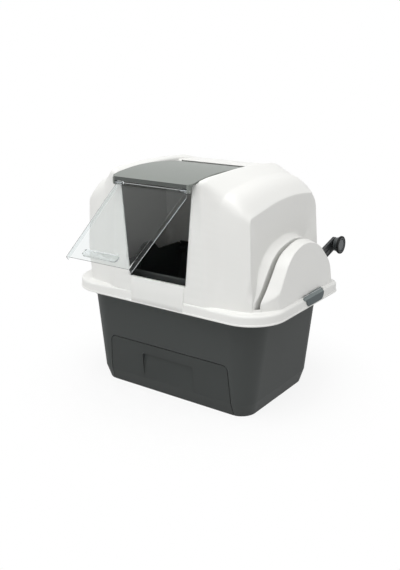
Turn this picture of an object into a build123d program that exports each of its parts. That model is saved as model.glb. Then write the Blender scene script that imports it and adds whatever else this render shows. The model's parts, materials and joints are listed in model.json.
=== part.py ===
"""Hooded litter box that sifts by hand.

A dark tub stands on the floor and holds a pull-out waste drawer. A litter drum hangs
above the drawer on two stub axles and is turned by a lever through a slot in the hood.
The white hood carries a grey lid, and the lid carries a clear swing door.

Millimetres. +Z is up, -Y is the front, +X is the lever's side. The origin is on the
floor, in the middle of the tub's underside.
"""
import os
from math import cos, hypot, radians, sin

from build123d import *

os.makedirs("parts", exist_ok=True)

# ---------------------------------------------------------------- driving dimensions
wall = 3.0                       # tub, hood and lid walls
touch_gap = 0.4                  # between bodies that pass close by
running_gap = 0.08               # radial, between a shaft and its bearing

# hood rim, which the tub, the side panels and the drum are set in from
rim_half_x, rim_front_y, rim_back_y = 331.0, -226.0, 207.0
rim_corner = 92.0
rim_low_z, rim_top_z = 282.0, 310.0
flange_gap = 5.0                 # rim wall to the tub's upstand
far = 300.0                      # how far a cutter reaches past what it cuts

# tub
rim_overhang, neck_taper, knee_taper = 46.0, 25.5, 9.5
tub_half_x, tub_half_y, tub_neck_z = rim_half_x - rim_overhang, 197.0, 264.0
knee_half_x, knee_half_y, knee_z = tub_half_x - neck_taper, 178.0, 38.0
foot_half_x, foot_half_y = knee_half_x - knee_taper, 166.0
foot_corner, neck_corner = 45.0, 78.0
ledge_z, ledge_width = 185.0, 9.0

# hood body
band_half_x = 195.0              # half-width of the raised band over the front and the roof
frame_half_x, skirt_fall = 149.0, 17.0   # its flat front, and how far its sides fall back
face_y, back_y = -222.0, 196.0
shoulder_z, shoulder_half_x = 645.0, 151.0
step_foot_z = 617.0
roof_z = 633.0
panel_set_in, panel_lean, crease_z = 57.0, 12.0, 556.0
panel_low_x = rim_half_x - panel_set_in
panel_top_x = panel_low_x - panel_lean

# entry and top opening
door_top_half, door_low_half = 114.0, 101.0
entry_low_z, entry_low_half, entry_top_half = 355.0, door_low_half - 8, door_top_half + 1
lid_half_x = door_top_half + 13.5
recess_half = lid_half_x + 3.5
top_opening_back_y = 57.5

# lever housing on the right side
pivot_z = 329.0
housing_y, housing_z, housing_r = 6.0, 314.0, 146.0
housing_set_in, housing_toe, housing_heel = 11.0, 181.0, 169.0
housing_face_x = rim_half_x - housing_set_in
slot_depth, slot_width = 39.0, 12.0
slot_x = housing_face_x - slot_depth
slot_low_x, slot_high_x = slot_x - slot_width / 2, slot_x + slot_width / 2

# drum
drum_margin = 117.0              # from the rim's edge in to the drum's cheek
drum_r, drum_half_x = 172.0, rim_half_x - drum_margin
drum_skin, cheek_thickness = 2.5, 3.0
drum_lip_angle = 8.0             # both lips stand this far above level
trunnion_r, trunnion_flange_r, trunnion_flange_t = 24.0, 44.0, 4.0
hub_boss_r = 56.0
shoe_thickness = 3.0

# lever
lever_rest_angle = 16.0          # above level, pointing to the rear
lever_length, lever_width, lever_thickness = 257.0, 35.0, 8.4
tang_width = 18.0
hub_r, hub_thickness = 34.0, 17.0
knob_r, knob_length, knob_pin_r = 26.0, 21.0, 4.0

# drawer
drawer_top_z, drawer_top_half, drawer_low_half = 148.0, 200.0, 212.0
drawer_seam = 2.0
drawer_corner = 16.0
bin_half_x, bin_back_y, bin_height, bin_wall, bin_corner = drawer_top_half - 10, 142.0, 118.0, 2.5, 18.0

# lid and door
lid_front_y, lid_front_z, lid_thickness = -247.0, 625.0, 4.0
lid_rise_y, lid_rise_z, lid_crest_y, lid_crest_z = -190.0, 635.0, -75.0, 640.0
lid_lip = 9.0
lid_axis_y, lid_axis_z, lid_barrel_r, lid_pin_r = 46.0, 624.0, 6.0, 3.0
door_axis_y, door_axis_z = -240.0, 609.0
door_length = 258.0
door_thickness, door_return = 2.5, 13.0
door_rest_angle = 54.0           # swung outwards from hanging straight down
door_pin_r, door_ear_t = 2.0, 5.0

# side latches
latch_y, latch_half, latch_plate = 44.0, 49.0, 3.5
latch_axis_x, latch_axis_z = rim_half_x - 6.4, rim_top_z + 3.6
latch_barrel_r, latch_pin_r = 2.8, 1.2

# screws
screw_r, screw_head_r, screw_head_t = 2.0, 4.0, 2.4


# ---------------------------------------------------------------- shared forms
def tub_half(z):
    """Half-sizes of the tub's outside at a height between the knee and the neck."""
    share = (z - knee_z) / (tub_neck_z - knee_z)
    return (knee_half_x + share * (tub_half_x - knee_half_x),
            knee_half_y + share * (tub_half_y - knee_half_y))


def tub_corner(z):
    """Corner radius of the tub's plan at a height."""
    return foot_corner + (neck_corner - foot_corner) * z / tub_neck_z


def tub_form(inset, low_z):
    """The tub's body as a solid, drawn in by inset, from low_z up to its neck."""
    with BuildPart() as form:
        for z, half in ((low_z, (foot_half_x, foot_half_y)), (knee_z, (knee_half_x, knee_half_y))):
            with BuildSketch(Plane.XY.offset(z)):
                RectangleRounded(2 * (half[0] - inset), 2 * (half[1] - inset), tub_corner(z) - inset)
        loft(ruled=True)
        for z in (knee_z, tub_neck_z):
            half = tub_half(z)
            with BuildSketch(Plane.XY.offset(z)):
                RectangleRounded(2 * (half[0] - inset), 2 * (half[1] - inset), tub_corner(z) - inset)
        loft(ruled=True)
    return form.part


def neck_section(z, inset):
    """Plan of the tub's neck at a height, drawn in by inset."""
    with BuildSketch(Plane.XY.offset(z)) as section:
        RectangleRounded(2 * (tub_half_x - inset), 2 * (tub_half_y - inset), neck_corner - inset)
    return section.sketch


def rim_section(z, inset):
    """Plan of the hood's rim at a height, drawn in by inset."""
    with BuildSketch(Plane.XY.offset(z)) as section:
        with Locations((0, (rim_front_y + rim_back_y) / 2)):
            RectangleRounded(2 * (rim_half_x - inset), rim_back_y - rim_front_y - 2 * inset,
                             rim_corner - inset)
    return section.sketch


def hood_section(height, half_x, front, back, front_turn, back_turn):
    """Plan of the hood's body at a height: flat across the band, rounding off to the side panels."""
    bend_x = min(band_half_x, half_x - 4)
    with BuildSketch(Plane.XY.offset(height)) as section:
        with BuildLine():
            right_front = SagittaArc((bend_x, front), (half_x, front + front_turn), -0.16 * front_turn)
            right_side = Line(right_front @ 1, (half_x, back - back_turn))
            right_back = SagittaArc(right_side @ 1, (bend_x, back), -0.16 * back_turn)
            rear = Line(right_back @ 1, (-bend_x, back))
            left_back = SagittaArc(rear @ 1, (-half_x, back - back_turn), -0.16 * back_turn)
            left_side = Line(left_back @ 1, (-half_x, front + front_turn))
            left_front = SagittaArc(left_side @ 1, (-bend_x, front), -0.16 * front_turn)
            Line(left_front @ 1, right_front @ 0)
        make_face()
    return section.sketch


# height, half-width, front, back and how far the corners turn in: the hood's outer body
hood_levels = ((rim_top_z - wall, panel_low_x, face_y + 15, back_y, 12, 24),
               (crease_z, panel_top_x, face_y + 18, back_y - 3, 30, 34))
cap_levels = ((crease_z, panel_top_x, face_y + 18, back_y - 3, 30, 34),
              (584.0, panel_top_x - 8, face_y + 22, back_y - 8, 46, 46),
              (603.0, panel_top_x - 24, face_y + 32, back_y - 20, 60, 56),
              (step_foot_z, panel_top_x - 56, face_y + 72, back_y - 62, 70, 62))


def hood_body(inset):
    """The hood's body under its raised band, drawn in by inset."""
    with BuildPart() as body:
        for levels in (hood_levels, cap_levels):
            sections = []
            for height, half_x, front, back, front_turn, back_turn in levels:
                top = inset if height > crease_z else 0
                sections.append(hood_section(height - top, half_x - inset, front + inset, back - inset,
                                             front_turn, back_turn))
            loft(sections, ruled=True)
    return body.part


def band_form(inset):
    """The raised band over the front, the roof and the back, drawn in by inset."""
    front, back, top = face_y + inset, back_y - inset, shoulder_z - inset
    with BuildPart() as band:
        with BuildSketch(Plane.YZ):
            with BuildLine():
                rise = Line((front, rim_top_z - wall), (front, 588))
                brow = Spline((front, 588), (front + 7, top - 24), (front + 28, top - 13),
                              tangents=[(0, 1), (1, 0.28)])
                crown = Spline(brow @ 1, (-60, top - 1), (30, top + 1), (118, top - 3),
                               tangents=[(1, 0.28), (1, -0.1)])
                nape = Spline(crown @ 1, (back - 22, top - 50), (back, top - 110),
                              tangents=[(1, -0.1), (0.02, -1)])
                drop = Line(nape @ 1, (back, rim_top_z - wall))
                Line(drop @ 1, rise @ 0)
            make_face()
        extrude(amount=band_half_x - inset, both=True)
        with BuildSketch(Plane.XZ):
            with BuildLine():
                Polyline((-band_half_x, rim_low_z), (-band_half_x, step_foot_z - inset),
                         (-shoulder_half_x, top + 2), (shoulder_half_x, top + 2),
                         (band_half_x, step_foot_z - inset), (band_half_x, rim_low_z), close=True)
            make_face()
        extrude(amount=far, both=True, mode=Mode.INTERSECT)
        with BuildSketch(Plane.XY.offset(rim_low_z)):
            with BuildLine():
                Polyline((-band_half_x, back), (-band_half_x, front + skirt_fall), (-frame_half_x, front),
                         (frame_half_x, front), (band_half_x, front + skirt_fall), (band_half_x, back),
                         close=True)
            make_face()
        extrude(amount=2 * far, mode=Mode.INTERSECT)
    return band.part


def housing_form(inset, inner_x, outer_x):
    """Bell-shaped housing of the lever, drawn in by inset, between two planes across X."""
    radius = housing_r - inset
    toe_y = housing_y - housing_toe + inset
    heel_y = housing_y + housing_heel - inset
    low = rim_top_z - wall
    lean = radians(52)
    shoulder = (radius * sin(lean), housing_z + radius * cos(lean))
    with BuildPart() as bell:
        with BuildSketch(Plane.YZ.offset(inner_x)):
            with BuildLine():
                arch = ThreePointArc((housing_y - shoulder[0], shoulder[1]),
                                     (housing_y, housing_z + radius),
                                     (housing_y + shoulder[0], shoulder[1]))
                back = TangentArc(arch @ 1, (heel_y, low + 22), tangent=arch % 1)
                heel = Line(back @ 1, (heel_y, low))
                sole = Line(heel @ 1, (toe_y, low))
                toe = Line(sole @ 1, (toe_y, low + 22))
                TangentArc(arch @ 0, toe @ 1, tangent=-(arch % 0))
            make_face()
        extrude(amount=outer_x - inner_x)
    return bell.part


def lid_curve(z_shift):
    """Fore-and-aft curve of the lid's top, lowered by z_shift, as points for a spline."""
    heights = ((lid_front_y, lid_front_z), (lid_rise_y, lid_rise_z), (lid_crest_y, lid_crest_z),
               (lid_axis_y, lid_axis_z + lid_barrel_r))
    return [(y, z - z_shift) for y, z in heights]


def recess_form(half_x, drop):
    """Space above the lid's seat and the rear roof, between the shoulders, lowered by drop."""
    seat_shift = lid_thickness + touch_gap + drop
    with BuildPart() as recess:
        with BuildSketch(Plane.YZ):
            with BuildLine():
                seat = Spline(*lid_curve(seat_shift))
                Polyline(seat @ 1, (top_opening_back_y, (seat @ 1).Y), (top_opening_back_y, roof_z - drop),
                         (back_y - 46, roof_z - 2 - drop), (far, roof_z - 40 - drop), (far, roof_z + 90),
                         (-far, roof_z + 90), (-far, (seat @ 0).Y), seat @ 0)
            make_face()
        extrude(amount=half_x, both=True)
    return recess.part


def pin_along_x(radius, from_x, to_x, y, z):
    """A round pin along X."""
    with BuildPart() as pin:
        with BuildSketch(Plane.YZ.offset(from_x)):
            with Locations((y, z)):
                Circle(radius)
        extrude(amount=to_x - from_x)
    return pin.part


def screw_form(plane, length):
    """A pan-head screw: its head sits on the plane and its shank runs back behind it."""
    with BuildPart() as screw:
        with BuildSketch(plane):
            Circle(screw_head_r)
        extrude(amount=screw_head_t)
        fillet(screw.faces().sort_by(Axis(plane.origin, plane.z_dir))[-1].edges(), screw_head_t / 3)
        with BuildSketch(plane):
            Circle(screw_r)
        extrude(amount=-length)
    return screw.part


def drawer_outline(margin, y):
    """Front outline of the drawer, grown by margin, in the plane across Y."""
    top_half = drawer_top_half + margin
    low_half = drawer_low_half + margin
    with BuildSketch(Plane.XZ.offset(-y)) as outline:
        with BuildLine():
            FilletPolyline((-low_half, -10), (-top_half, drawer_top_z + margin),
                           (top_half, drawer_top_z + margin), (low_half, -10),
                           radius=drawer_corner + margin)
            Line((low_half, -10), (-low_half, -10))
        make_face()
    return outline.sketch


# ---------------------------------------------------------------- tub
upstand_inset = wall + flange_gap
upstand_low_z = rim_low_z
cradle_gap = 12.0                # drum's cheek to its cradle
cradle_inner_x = drum_half_x + cradle_gap
shelf_z, shelf_half_y, shelf_inner_x, shelf_thickness = 220.0, 52.0, cradle_inner_x - 4, 8.0
bead_low_z, bead_height, bead_reach = 294.0, 4.0, 3.0
cradle_screw_x, cradle_screw_y = cradle_inner_x + 30, 34.0

with BuildPart() as tub:
    add(tub_form(0, 0))
    # the neck flares out to the upstand that carries the hood's rim
    loft([neck_section(tub_neck_z, 0), rim_section(upstand_low_z, upstand_inset)], ruled=True)
    extrude(rim_section(upstand_low_z, upstand_inset), amount=rim_top_z - wall - upstand_low_z)
    # hollow
    add(tub_form(wall, wall), mode=Mode.SUBTRACT)
    extrude(neck_section(tub_neck_z, wall), amount=wall, mode=Mode.SUBTRACT)
    loft([neck_section(tub_neck_z + wall, wall), rim_section(upstand_low_z + wall, upstand_inset + wall)],
         ruled=True, mode=Mode.SUBTRACT)
    extrude(rim_section(upstand_low_z + wall, upstand_inset + wall), amount=rim_top_z, mode=Mode.SUBTRACT)
    # ledge for the waste chute
    ledge_half = tub_half(ledge_z)
    with BuildSketch(Plane.XY.offset(ledge_z - wall)):
        RectangleRounded(2 * (ledge_half[0] - wall + 1), 2 * (ledge_half[1] - wall + 1), tub_corner(ledge_z))
        RectangleRounded(2 * (ledge_half[0] - wall - ledge_width), 2 * (ledge_half[1] - wall - ledge_width),
                         tub_corner(ledge_z) - ledge_width, mode=Mode.SUBTRACT)
    extrude(amount=wall)
    # shelves for the bearing cradles, each on two ribs
    for side in (-1, 1):
        shelf_outer_x = tub_half(shelf_z - shelf_thickness)[0] - 1
        middle_x = side * (shelf_inner_x + shelf_outer_x) / 2
        with Locations((middle_x, 0, shelf_z - shelf_thickness / 2)):
            Box(shelf_outer_x - shelf_inner_x, 2 * shelf_half_y, shelf_thickness)
        with BuildSketch(Plane.XY.offset(shelf_z)):
            with Locations(*[(side * cradle_screw_x, y) for y in (-cradle_screw_y, cradle_screw_y)]):
                Circle(screw_r)
        extrude(amount=-shelf_thickness, mode=Mode.SUBTRACT)
        for y in (-shelf_half_y + 6, shelf_half_y - 6):
            with BuildSketch(Plane.XZ.offset(-y)):
                with BuildLine():
                    Polyline((side * (shelf_inner_x + 4), shelf_z - shelf_thickness),
                             (side * (tub_half(ledge_z + 4)[0] - 1), ledge_z + 4),
                             (side * shelf_outer_x, shelf_z - shelf_thickness), close=True)
                make_face()
            extrude(amount=wall / 2, both=True)
    # beads that the side latches hook under
    for side in (-1, 1):
        with Locations((side * (rim_half_x - upstand_inset + bead_reach / 2 - 0.5), latch_y,
                        bead_low_z + bead_height / 2)):
            Box(bead_reach + 1, 2 * latch_half - 20, bead_height)
    # drawer opening, through the front wall and the floor's front edge
    extrude(drawer_outline(drawer_seam / 2, -foot_half_y + 8), amount=80, mode=Mode.SUBTRACT)
tub.part.label = "tub"
export_step(tub.part, "parts/tub.step")

# ---------------------------------------------------------------- waste chute
chute_low_z, chute_half_x, chute_half_y, chute_y = 128.0, bin_half_x - 7, 139.0, -9.0
chute_slope_x, chute_slope_y = 4.5, 3.0      # plan width of the sloping walls
chute_top_half = (tub_half(ledge_z)[0] - wall - 1.0, tub_half(ledge_z)[1] - wall - 1.0)
chute_corner = tub_corner(ledge_z) - ledge_width - 1

with BuildPart() as waste_chute:
    with BuildSketch(Plane.XY.offset(ledge_z)):
        RectangleRounded(2 * chute_top_half[0], 2 * chute_top_half[1], tub_corner(ledge_z) - wall - 1)
    extrude(amount=chute_slope_y)
    for inset_x, inset_y, mode in ((0, 0, Mode.ADD), (chute_slope_x, chute_slope_y, Mode.SUBTRACT)):
        low_size = (2 * (chute_half_x - inset_x), 2 * (chute_half_y - inset_y))
        top_size = (2 * (chute_top_half[0] - ledge_width - inset_x),
                    2 * (chute_top_half[1] - ledge_width - inset_y))
        with BuildSketch(Plane.XY.offset(chute_low_z)):
            with Locations((0, chute_y)):
                RectangleRounded(*low_size, 22 - inset_y)
        with BuildSketch(Plane.XY.offset(ledge_z)) as throat:
            RectangleRounded(*top_size, chute_corner - inset_y)
        loft(ruled=True, mode=mode)
        if mode == Mode.SUBTRACT:
            extrude(throat.sketch, amount=chute_slope_y, mode=mode)
waste_chute.part.label = "waste_chute"
export_step(waste_chute.part, "parts/waste_chute.step")

# ---------------------------------------------------------------- drawer
front_thickness = 4.0
grip_half, grip_top_z, grip_foot_z, grip_depth = 87.0, 116.0, 30.0, 7.0
drawer_floor_z = wall + touch_gap
bin_front_y = -foot_half_y + 6
bin_top_z = drawer_floor_z + bin_height
boss_places = [(x, z) for x in (-150, 150) for z in (34, 100)]

with BuildPart() as drawer_front:
    add(tub_form(0, 0))
    add(tub_form(front_thickness, 0), mode=Mode.SUBTRACT)
    # a boss behind the finger grip, and four for the screws
    with Locations((0, -(knee_half_y + 8) + 4, (grip_top_z + grip_foot_z) / 2)):
        Box(2 * grip_half + 8, 2 * grip_depth + 8, grip_top_z - grip_foot_z + 8)
    with BuildSketch(Plane.XZ.offset(-bin_front_y)):
        with Locations(*boss_places):
            Circle(6)
    extrude(amount=24)
    add(tub_form(0, 0), mode=Mode.INTERSECT)
    extrude(drawer_outline(-drawer_seam / 2, bin_front_y), amount=80, mode=Mode.INTERSECT)
    with BuildSketch(Plane.YZ):
        with BuildLine():
            grip_y = -tub_half(grip_top_z)[1]
            Polyline((grip_y - 20, grip_top_z), (grip_y + grip_depth, grip_top_z),
                     (-knee_half_y - 0.5, grip_foot_z), (grip_y - 20, grip_foot_z), close=True)
        make_face()
    extrude(amount=grip_half, both=True, mode=Mode.SUBTRACT)
    with BuildSketch(Plane.XZ.offset(-bin_front_y)):
        with Locations(*boss_places):
            Circle(screw_r)
    extrude(amount=12, mode=Mode.SUBTRACT)
    with BuildSketch(Plane.XY.offset(-1)):
        Rectangle(1000, 1000)
    extrude(amount=1 + touch_gap, mode=Mode.SUBTRACT)
drawer_front.part.label = "drawer_front"
export_step(drawer_front.part, "parts/drawer_front.step")

with BuildPart() as drawer_bin:
    bin_middle_y = (bin_front_y + bin_back_y) / 2
    bin_depth = bin_back_y - bin_front_y
    with BuildSketch(Plane.XY.offset(drawer_floor_z)):
        with Locations((0, bin_middle_y)):
            RectangleRounded(2 * bin_half_x, bin_depth, bin_corner)
    extrude(amount=bin_height)
    with BuildSketch(Plane.XY.offset(drawer_floor_z + bin_wall)):
        with Locations((0, bin_middle_y)):
            RectangleRounded(2 * (bin_half_x - bin_wall), bin_depth - 2 * bin_wall, bin_corner - bin_wall)
    extrude(amount=bin_height, mode=Mode.SUBTRACT)
    with BuildSketch(Plane.XZ.offset(-bin_front_y)):
        with Locations(*boss_places):
            Circle(screw_r)
    extrude(amount=-bin_wall, mode=Mode.SUBTRACT)
drawer_bin.part.label = "drawer_bin"
export_step(drawer_bin.part, "parts/drawer_bin.step")

drawer_screws = [screw_form(Plane((x, bin_front_y + bin_wall, z), x_dir=(1, 0, 0), z_dir=(0, 1, 0)), 12)
                 for x, z in boss_places]
export_step(Compound(label="drawer_screws", children=drawer_screws), "parts/drawer_screws.step")

frame_reach, frame_skirt = 2.5, 10.0
with BuildPart() as liner_frame:
    # lies on the bin's edge, with a skirt that clamps the bag inside
    with BuildSketch(Plane.XY.offset(bin_top_z)):
        with Locations((0, bin_middle_y)):
            RectangleRounded(2 * bin_half_x, bin_depth, bin_corner)
            RectangleRounded(2 * (bin_half_x - bin_wall - frame_reach - touch_gap),
                             bin_depth - 2 * (bin_wall + frame_reach + touch_gap), 12, mode=Mode.SUBTRACT)
    extrude(amount=frame_reach)
    with BuildSketch(Plane.XY.offset(bin_top_z)):
        with Locations((0, bin_middle_y)):
            RectangleRounded(2 * (bin_half_x - bin_wall - touch_gap), bin_depth - 2 * (bin_wall + touch_gap),
                             bin_corner - bin_wall - touch_gap)
            RectangleRounded(2 * (bin_half_x - bin_wall - frame_reach - touch_gap),
                             bin_depth - 2 * (bin_wall + frame_reach + touch_gap), 12, mode=Mode.SUBTRACT)
    extrude(amount=-frame_skirt)
liner_frame.part.label = "liner_frame"
export_step(liner_frame.part, "parts/liner_frame.step")

# ---------------------------------------------------------------- bearings
cradle_foot_t, cradle_plate, cradle_top_z = 6.0, 12.0, pivot_z + 15
shoe_r = trunnion_r + running_gap + shoe_thickness

for side, name in ((-1, "left"), (1, "right")):
    with BuildPart() as cradle:
        foot_outer_x = tub_half(shelf_z)[0] - wall - 4
        with Locations((side * (cradle_inner_x + foot_outer_x) / 2, 0, shelf_z + cradle_foot_t / 2)):
            Box(foot_outer_x - cradle_inner_x, 2 * shelf_half_y - 8, cradle_foot_t)
        with BuildSketch(Plane.YZ.offset(side * cradle_inner_x)):
            with BuildLine():
                Polyline((-shelf_half_y + 4, shelf_z), (-shoe_r - 8, cradle_top_z),
                         (shoe_r + 8, cradle_top_z), (shelf_half_y - 4, shelf_z), close=True)
            make_face()
        extrude(amount=side * cradle_plate)
        with BuildSketch(Plane.XZ):
            with BuildLine():
                Polyline((side * (cradle_inner_x + cradle_plate - 1), shelf_z + 80),
                         (side * (cradle_inner_x + cradle_plate - 1), shelf_z + cradle_foot_t - 1),
                         (side * (foot_outer_x - 2), shelf_z + cradle_foot_t - 1), close=True)
            make_face()
        extrude(amount=3, both=True)
        with BuildSketch(Plane.YZ):
            with Locations((0, pivot_z)):
                Circle(shoe_r)
            with Locations((0, pivot_z + 30)):
                Rectangle(2 * shoe_r, 60)
        extrude(amount=side * (far + cradle_inner_x), mode=Mode.SUBTRACT)
        with BuildSketch(Plane.XY.offset(shelf_z)):
            with Locations(*[(side * cradle_screw_x, y) for y in (-cradle_screw_y, cradle_screw_y)]):
                Circle(screw_r)
        extrude(amount=cradle_foot_t, mode=Mode.SUBTRACT)
    cradle.part.label = name + "_cradle"
    export_step(cradle.part, "parts/" + name + "_cradle.step")

    with BuildPart() as shoe:
        with BuildSketch(Plane.YZ.offset(side * (cradle_inner_x - 1))):
            with Locations((0, pivot_z)):
                Circle(shoe_r)
            with Locations((0, (pivot_z + cradle_top_z) / 2)):
                Rectangle(2 * shoe_r, cradle_top_z - pivot_z)
            with Locations((0, pivot_z)):
                Circle(shoe_r - shoe_thickness, mode=Mode.SUBTRACT)
            with Locations((0, pivot_z + 30)):
                Rectangle(2 * (shoe_r - shoe_thickness), 60, mode=Mode.SUBTRACT)
        extrude(amount=side * (cradle_plate + 2))
    shoe.part.label = name + "_bearing_shoe"
    export_step(shoe.part, "parts/" + name + "_bearing_shoe.step")

cradle_screws = [screw_form(Plane((side * cradle_screw_x, y, shelf_z + cradle_foot_t)), 13)
                 for side in (-1, 1) for y in (-cradle_screw_y, cradle_screw_y)]
export_step(Compound(label="cradle_screws", children=cradle_screws), "parts/cradle_screws.step")

# ---------------------------------------------------------------- litter drum
pan_half_x = drum_half_x - cheek_thickness
lip_r = 3.5
boss_r, boss_length = 6.0, 14.0
boss_angles = (0, -42, -84, -126, -180)
boss_circle = drum_r - drum_skin - boss_r + 1.5
flange_screw_circle, hub_boss_depth = 35.0, 8.0


def around_pivot(radius, angle):
    """Y and Z of a point at a radius and an angle about the drum's axis, from +Y towards +Z."""
    return (radius * cos(radians(angle)), pivot_z + radius * sin(radians(angle)))


with BuildPart() as litter_pan:
    sweep_angle = 180 + 2 * drum_lip_angle
    with BuildSketch(Plane.YZ):
        with BuildLine():
            outer = CenterArc((0, pivot_z), drum_r, drum_lip_angle, -sweep_angle)
            inner = CenterArc((0, pivot_z), drum_r - drum_skin, drum_lip_angle, -sweep_angle)
            Line(outer @ 0, inner @ 0)
            Line(outer @ 1, inner @ 1)
        make_face()
        with Locations(around_pivot(drum_r - lip_r, drum_lip_angle),
                       around_pivot(drum_r - lip_r, 180 - drum_lip_angle)):
            Circle(lip_r)
    extrude(amount=pan_half_x, both=True)
    for side in (-1, 1):
        with BuildSketch(Plane.YZ.offset(side * pan_half_x)):
            with Locations(*[around_pivot(boss_circle, angle) for angle in boss_angles]):
                Circle(boss_r)
        extrude(amount=-side * boss_length)
        with BuildSketch(Plane.YZ.offset(side * pan_half_x)):
            with Locations(*[around_pivot(boss_circle, angle) for angle in boss_angles]):
                Circle(screw_r)
        extrude(amount=-side * 10, mode=Mode.SUBTRACT)
litter_pan.part.label = "litter_pan"
export_step(litter_pan.part, "parts/litter_pan.step")

for side, name in ((-1, "left"), (1, "right")):
    with BuildPart() as cheek:
        with BuildSketch(Plane.YZ.offset(side * pan_half_x)):
            with Locations((0, pivot_z)):
                Circle(drum_r)
            with Locations((0, pivot_z + drum_r * sin(radians(drum_lip_angle)) + 150)):
                Rectangle(2 * drum_r, 300, mode=Mode.SUBTRACT)
            with Locations((0, pivot_z)):
                Circle(hub_boss_r)
        extrude(amount=side * cheek_thickness)
        with BuildSketch(Plane.YZ.offset(side * pan_half_x)):
            with Locations((0, pivot_z)):
                Circle(trunnion_flange_r)
        extrude(amount=-side * hub_boss_depth)
        fillet(cheek.edges().filter_by(Axis.X).group_by(Axis.Z)[-1], 20)
        with BuildSketch(Plane.YZ.offset(side * drum_half_x)):
            with Locations(*[around_pivot(boss_circle, angle) for angle in boss_angles]):
                Circle(screw_r)
            with Locations(*[around_pivot(flange_screw_circle, angle) for angle in (45, 135, 225, 315)]):
                Circle(screw_r)
        extrude(amount=-side * 9, mode=Mode.SUBTRACT)
    cheek.part.label = name + "_cheek"
    export_step(cheek.part, "parts/" + name + "_cheek.step")

drum_screws = [screw_form(Plane((side * drum_half_x, *around_pivot(boss_circle, angle)),
                                x_dir=(0, 1, 0), z_dir=(side, 0, 0)), 12)
               for side in (-1, 1) for angle in boss_angles]
export_step(Compound(label="drum_screws", children=drum_screws), "parts/drum_screws.step")

sieve_thickness, sieve_sag = 2.5, 10.0
sieve_r = drum_r - drum_skin - sieve_thickness / 2 - 0.3
sieve_front = around_pivot(drum_r - 2 * lip_r - sieve_thickness / 2 - 0.3, 180 - drum_lip_angle)
sieve_low = around_pivot(sieve_r, -97)
sieve_middle = ((sieve_front[0] + sieve_low[0]) / 2, (sieve_front[1] + sieve_low[1]) / 2)
sieve_chord = hypot(sieve_low[0] - sieve_front[0], sieve_low[1] - sieve_front[1])
sieve_along = ((sieve_low[0] - sieve_front[0]) / sieve_chord, (sieve_low[1] - sieve_front[1]) / sieve_chord)
sieve_out = (sieve_along[1], -sieve_along[0])
slot_count, slot_pitch, slot_wide, slot_long, slot_rows, row_pitch = 26, 15.0, 9.0, 42.0, 4, 54.0


def sieve_point(middle, shift):
    """A point of the sieve's section, shifted outwards from the drum's inside."""
    return (middle[0] + sieve_out[0] * shift, middle[1] + sieve_out[1] * shift)


with BuildPart() as sieve:
    half_t = sieve_thickness / 2
    with BuildSketch(Plane.YZ):
        with BuildLine():
            upper = ThreePointArc(sieve_point(sieve_front, -half_t),
                                  sieve_point(sieve_middle, sieve_sag - half_t),
                                  sieve_point(sieve_low, -half_t))
            lower = ThreePointArc(sieve_point(sieve_front, half_t),
                                  sieve_point(sieve_middle, sieve_sag + half_t),
                                  sieve_point(sieve_low, half_t))
            Line(upper @ 0, lower @ 0)
            Line(upper @ 1, lower @ 1)
        make_face()
    extrude(amount=pan_half_x, both=True)
    slot_plane = Plane((0, *sieve_middle), x_dir=(1, 0, 0), z_dir=(0, *sieve_out))
    with BuildSketch(slot_plane):
        with GridLocations(slot_pitch, row_pitch, slot_count, slot_rows):
            Rectangle(slot_wide, slot_long)
    extrude(amount=40, both=True, mode=Mode.SUBTRACT)
sieve.part.label = "sieve"
export_step(sieve.part, "parts/sieve.step")

# ---------------------------------------------------------------- trunnions and lever
shaft_end = cradle_inner_x + cradle_plate + 5
hub_inner_x = slot_x - hub_thickness / 2
spigot_r, spigot_length, neck_r, bore_r = 11.0, 12.0, 18.0, 15.0

with BuildPart() as left_trunnion:
    with BuildSketch(Plane.YZ.offset(-drum_half_x)):
        with Locations((0, pivot_z)):
            Circle(trunnion_flange_r)
    extrude(amount=-trunnion_flange_t)
    with BuildSketch(Plane.YZ.offset(-drum_half_x)):
        with Locations((0, pivot_z)):
            Circle(trunnion_r)
    extrude(amount=-(shaft_end - drum_half_x))
    with BuildSketch(Plane.YZ.offset(-drum_half_x)):
        with Locations((0, pivot_z)):
            Circle(bore_r)
    extrude(amount=-far, mode=Mode.SUBTRACT)
    with BuildSketch(Plane.YZ.offset(-drum_half_x)):
        with Locations(*[around_pivot(flange_screw_circle, angle) for angle in (45, 135, 225, 315)]):
            Circle(screw_r)
    extrude(amount=-trunnion_flange_t, mode=Mode.SUBTRACT)
left_trunnion.part.label = "left_trunnion"
export_step(left_trunnion.part, "parts/left_trunnion.step")

with BuildPart() as right_trunnion:
    for radius, from_x, to_x in ((trunnion_flange_r, drum_half_x, drum_half_x + trunnion_flange_t),
                                 (trunnion_r, drum_half_x, shaft_end),
                                 (neck_r, shaft_end - 1, hub_inner_x),
                                 (spigot_r, hub_inner_x - 1, hub_inner_x + spigot_length)):
        with BuildSketch(Plane.YZ.offset(from_x)):
            with Locations((0, pivot_z)):
                Circle(radius)
        extrude(amount=to_x - from_x)
    with BuildSketch(Plane.YZ.offset(drum_half_x)):
        with Locations(*[around_pivot(flange_screw_circle, angle) for angle in (45, 135, 225, 315)]):
            Circle(screw_r)
    extrude(amount=trunnion_flange_t, mode=Mode.SUBTRACT)
    with BuildSketch(Plane.YZ.offset(hub_inner_x + spigot_length)):
        with Locations((0, pivot_z)):
            Circle(screw_r)
    extrude(amount=-20, mode=Mode.SUBTRACT)
right_trunnion.part.label = "right_trunnion"
export_step(right_trunnion.part, "parts/right_trunnion.step")

trunnion_screws = [screw_form(Plane((side * (drum_half_x + trunnion_flange_t),
                                     *around_pivot(flange_screw_circle, angle)),
                                    x_dir=(0, 1, 0), z_dir=(side, 0, 0)), 12)
                   for side in (-1, 1) for angle in (45, 135, 225, 315)]
export_step(Compound(label="trunnion_screws", children=trunnion_screws), "parts/trunnion_screws.step")

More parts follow.
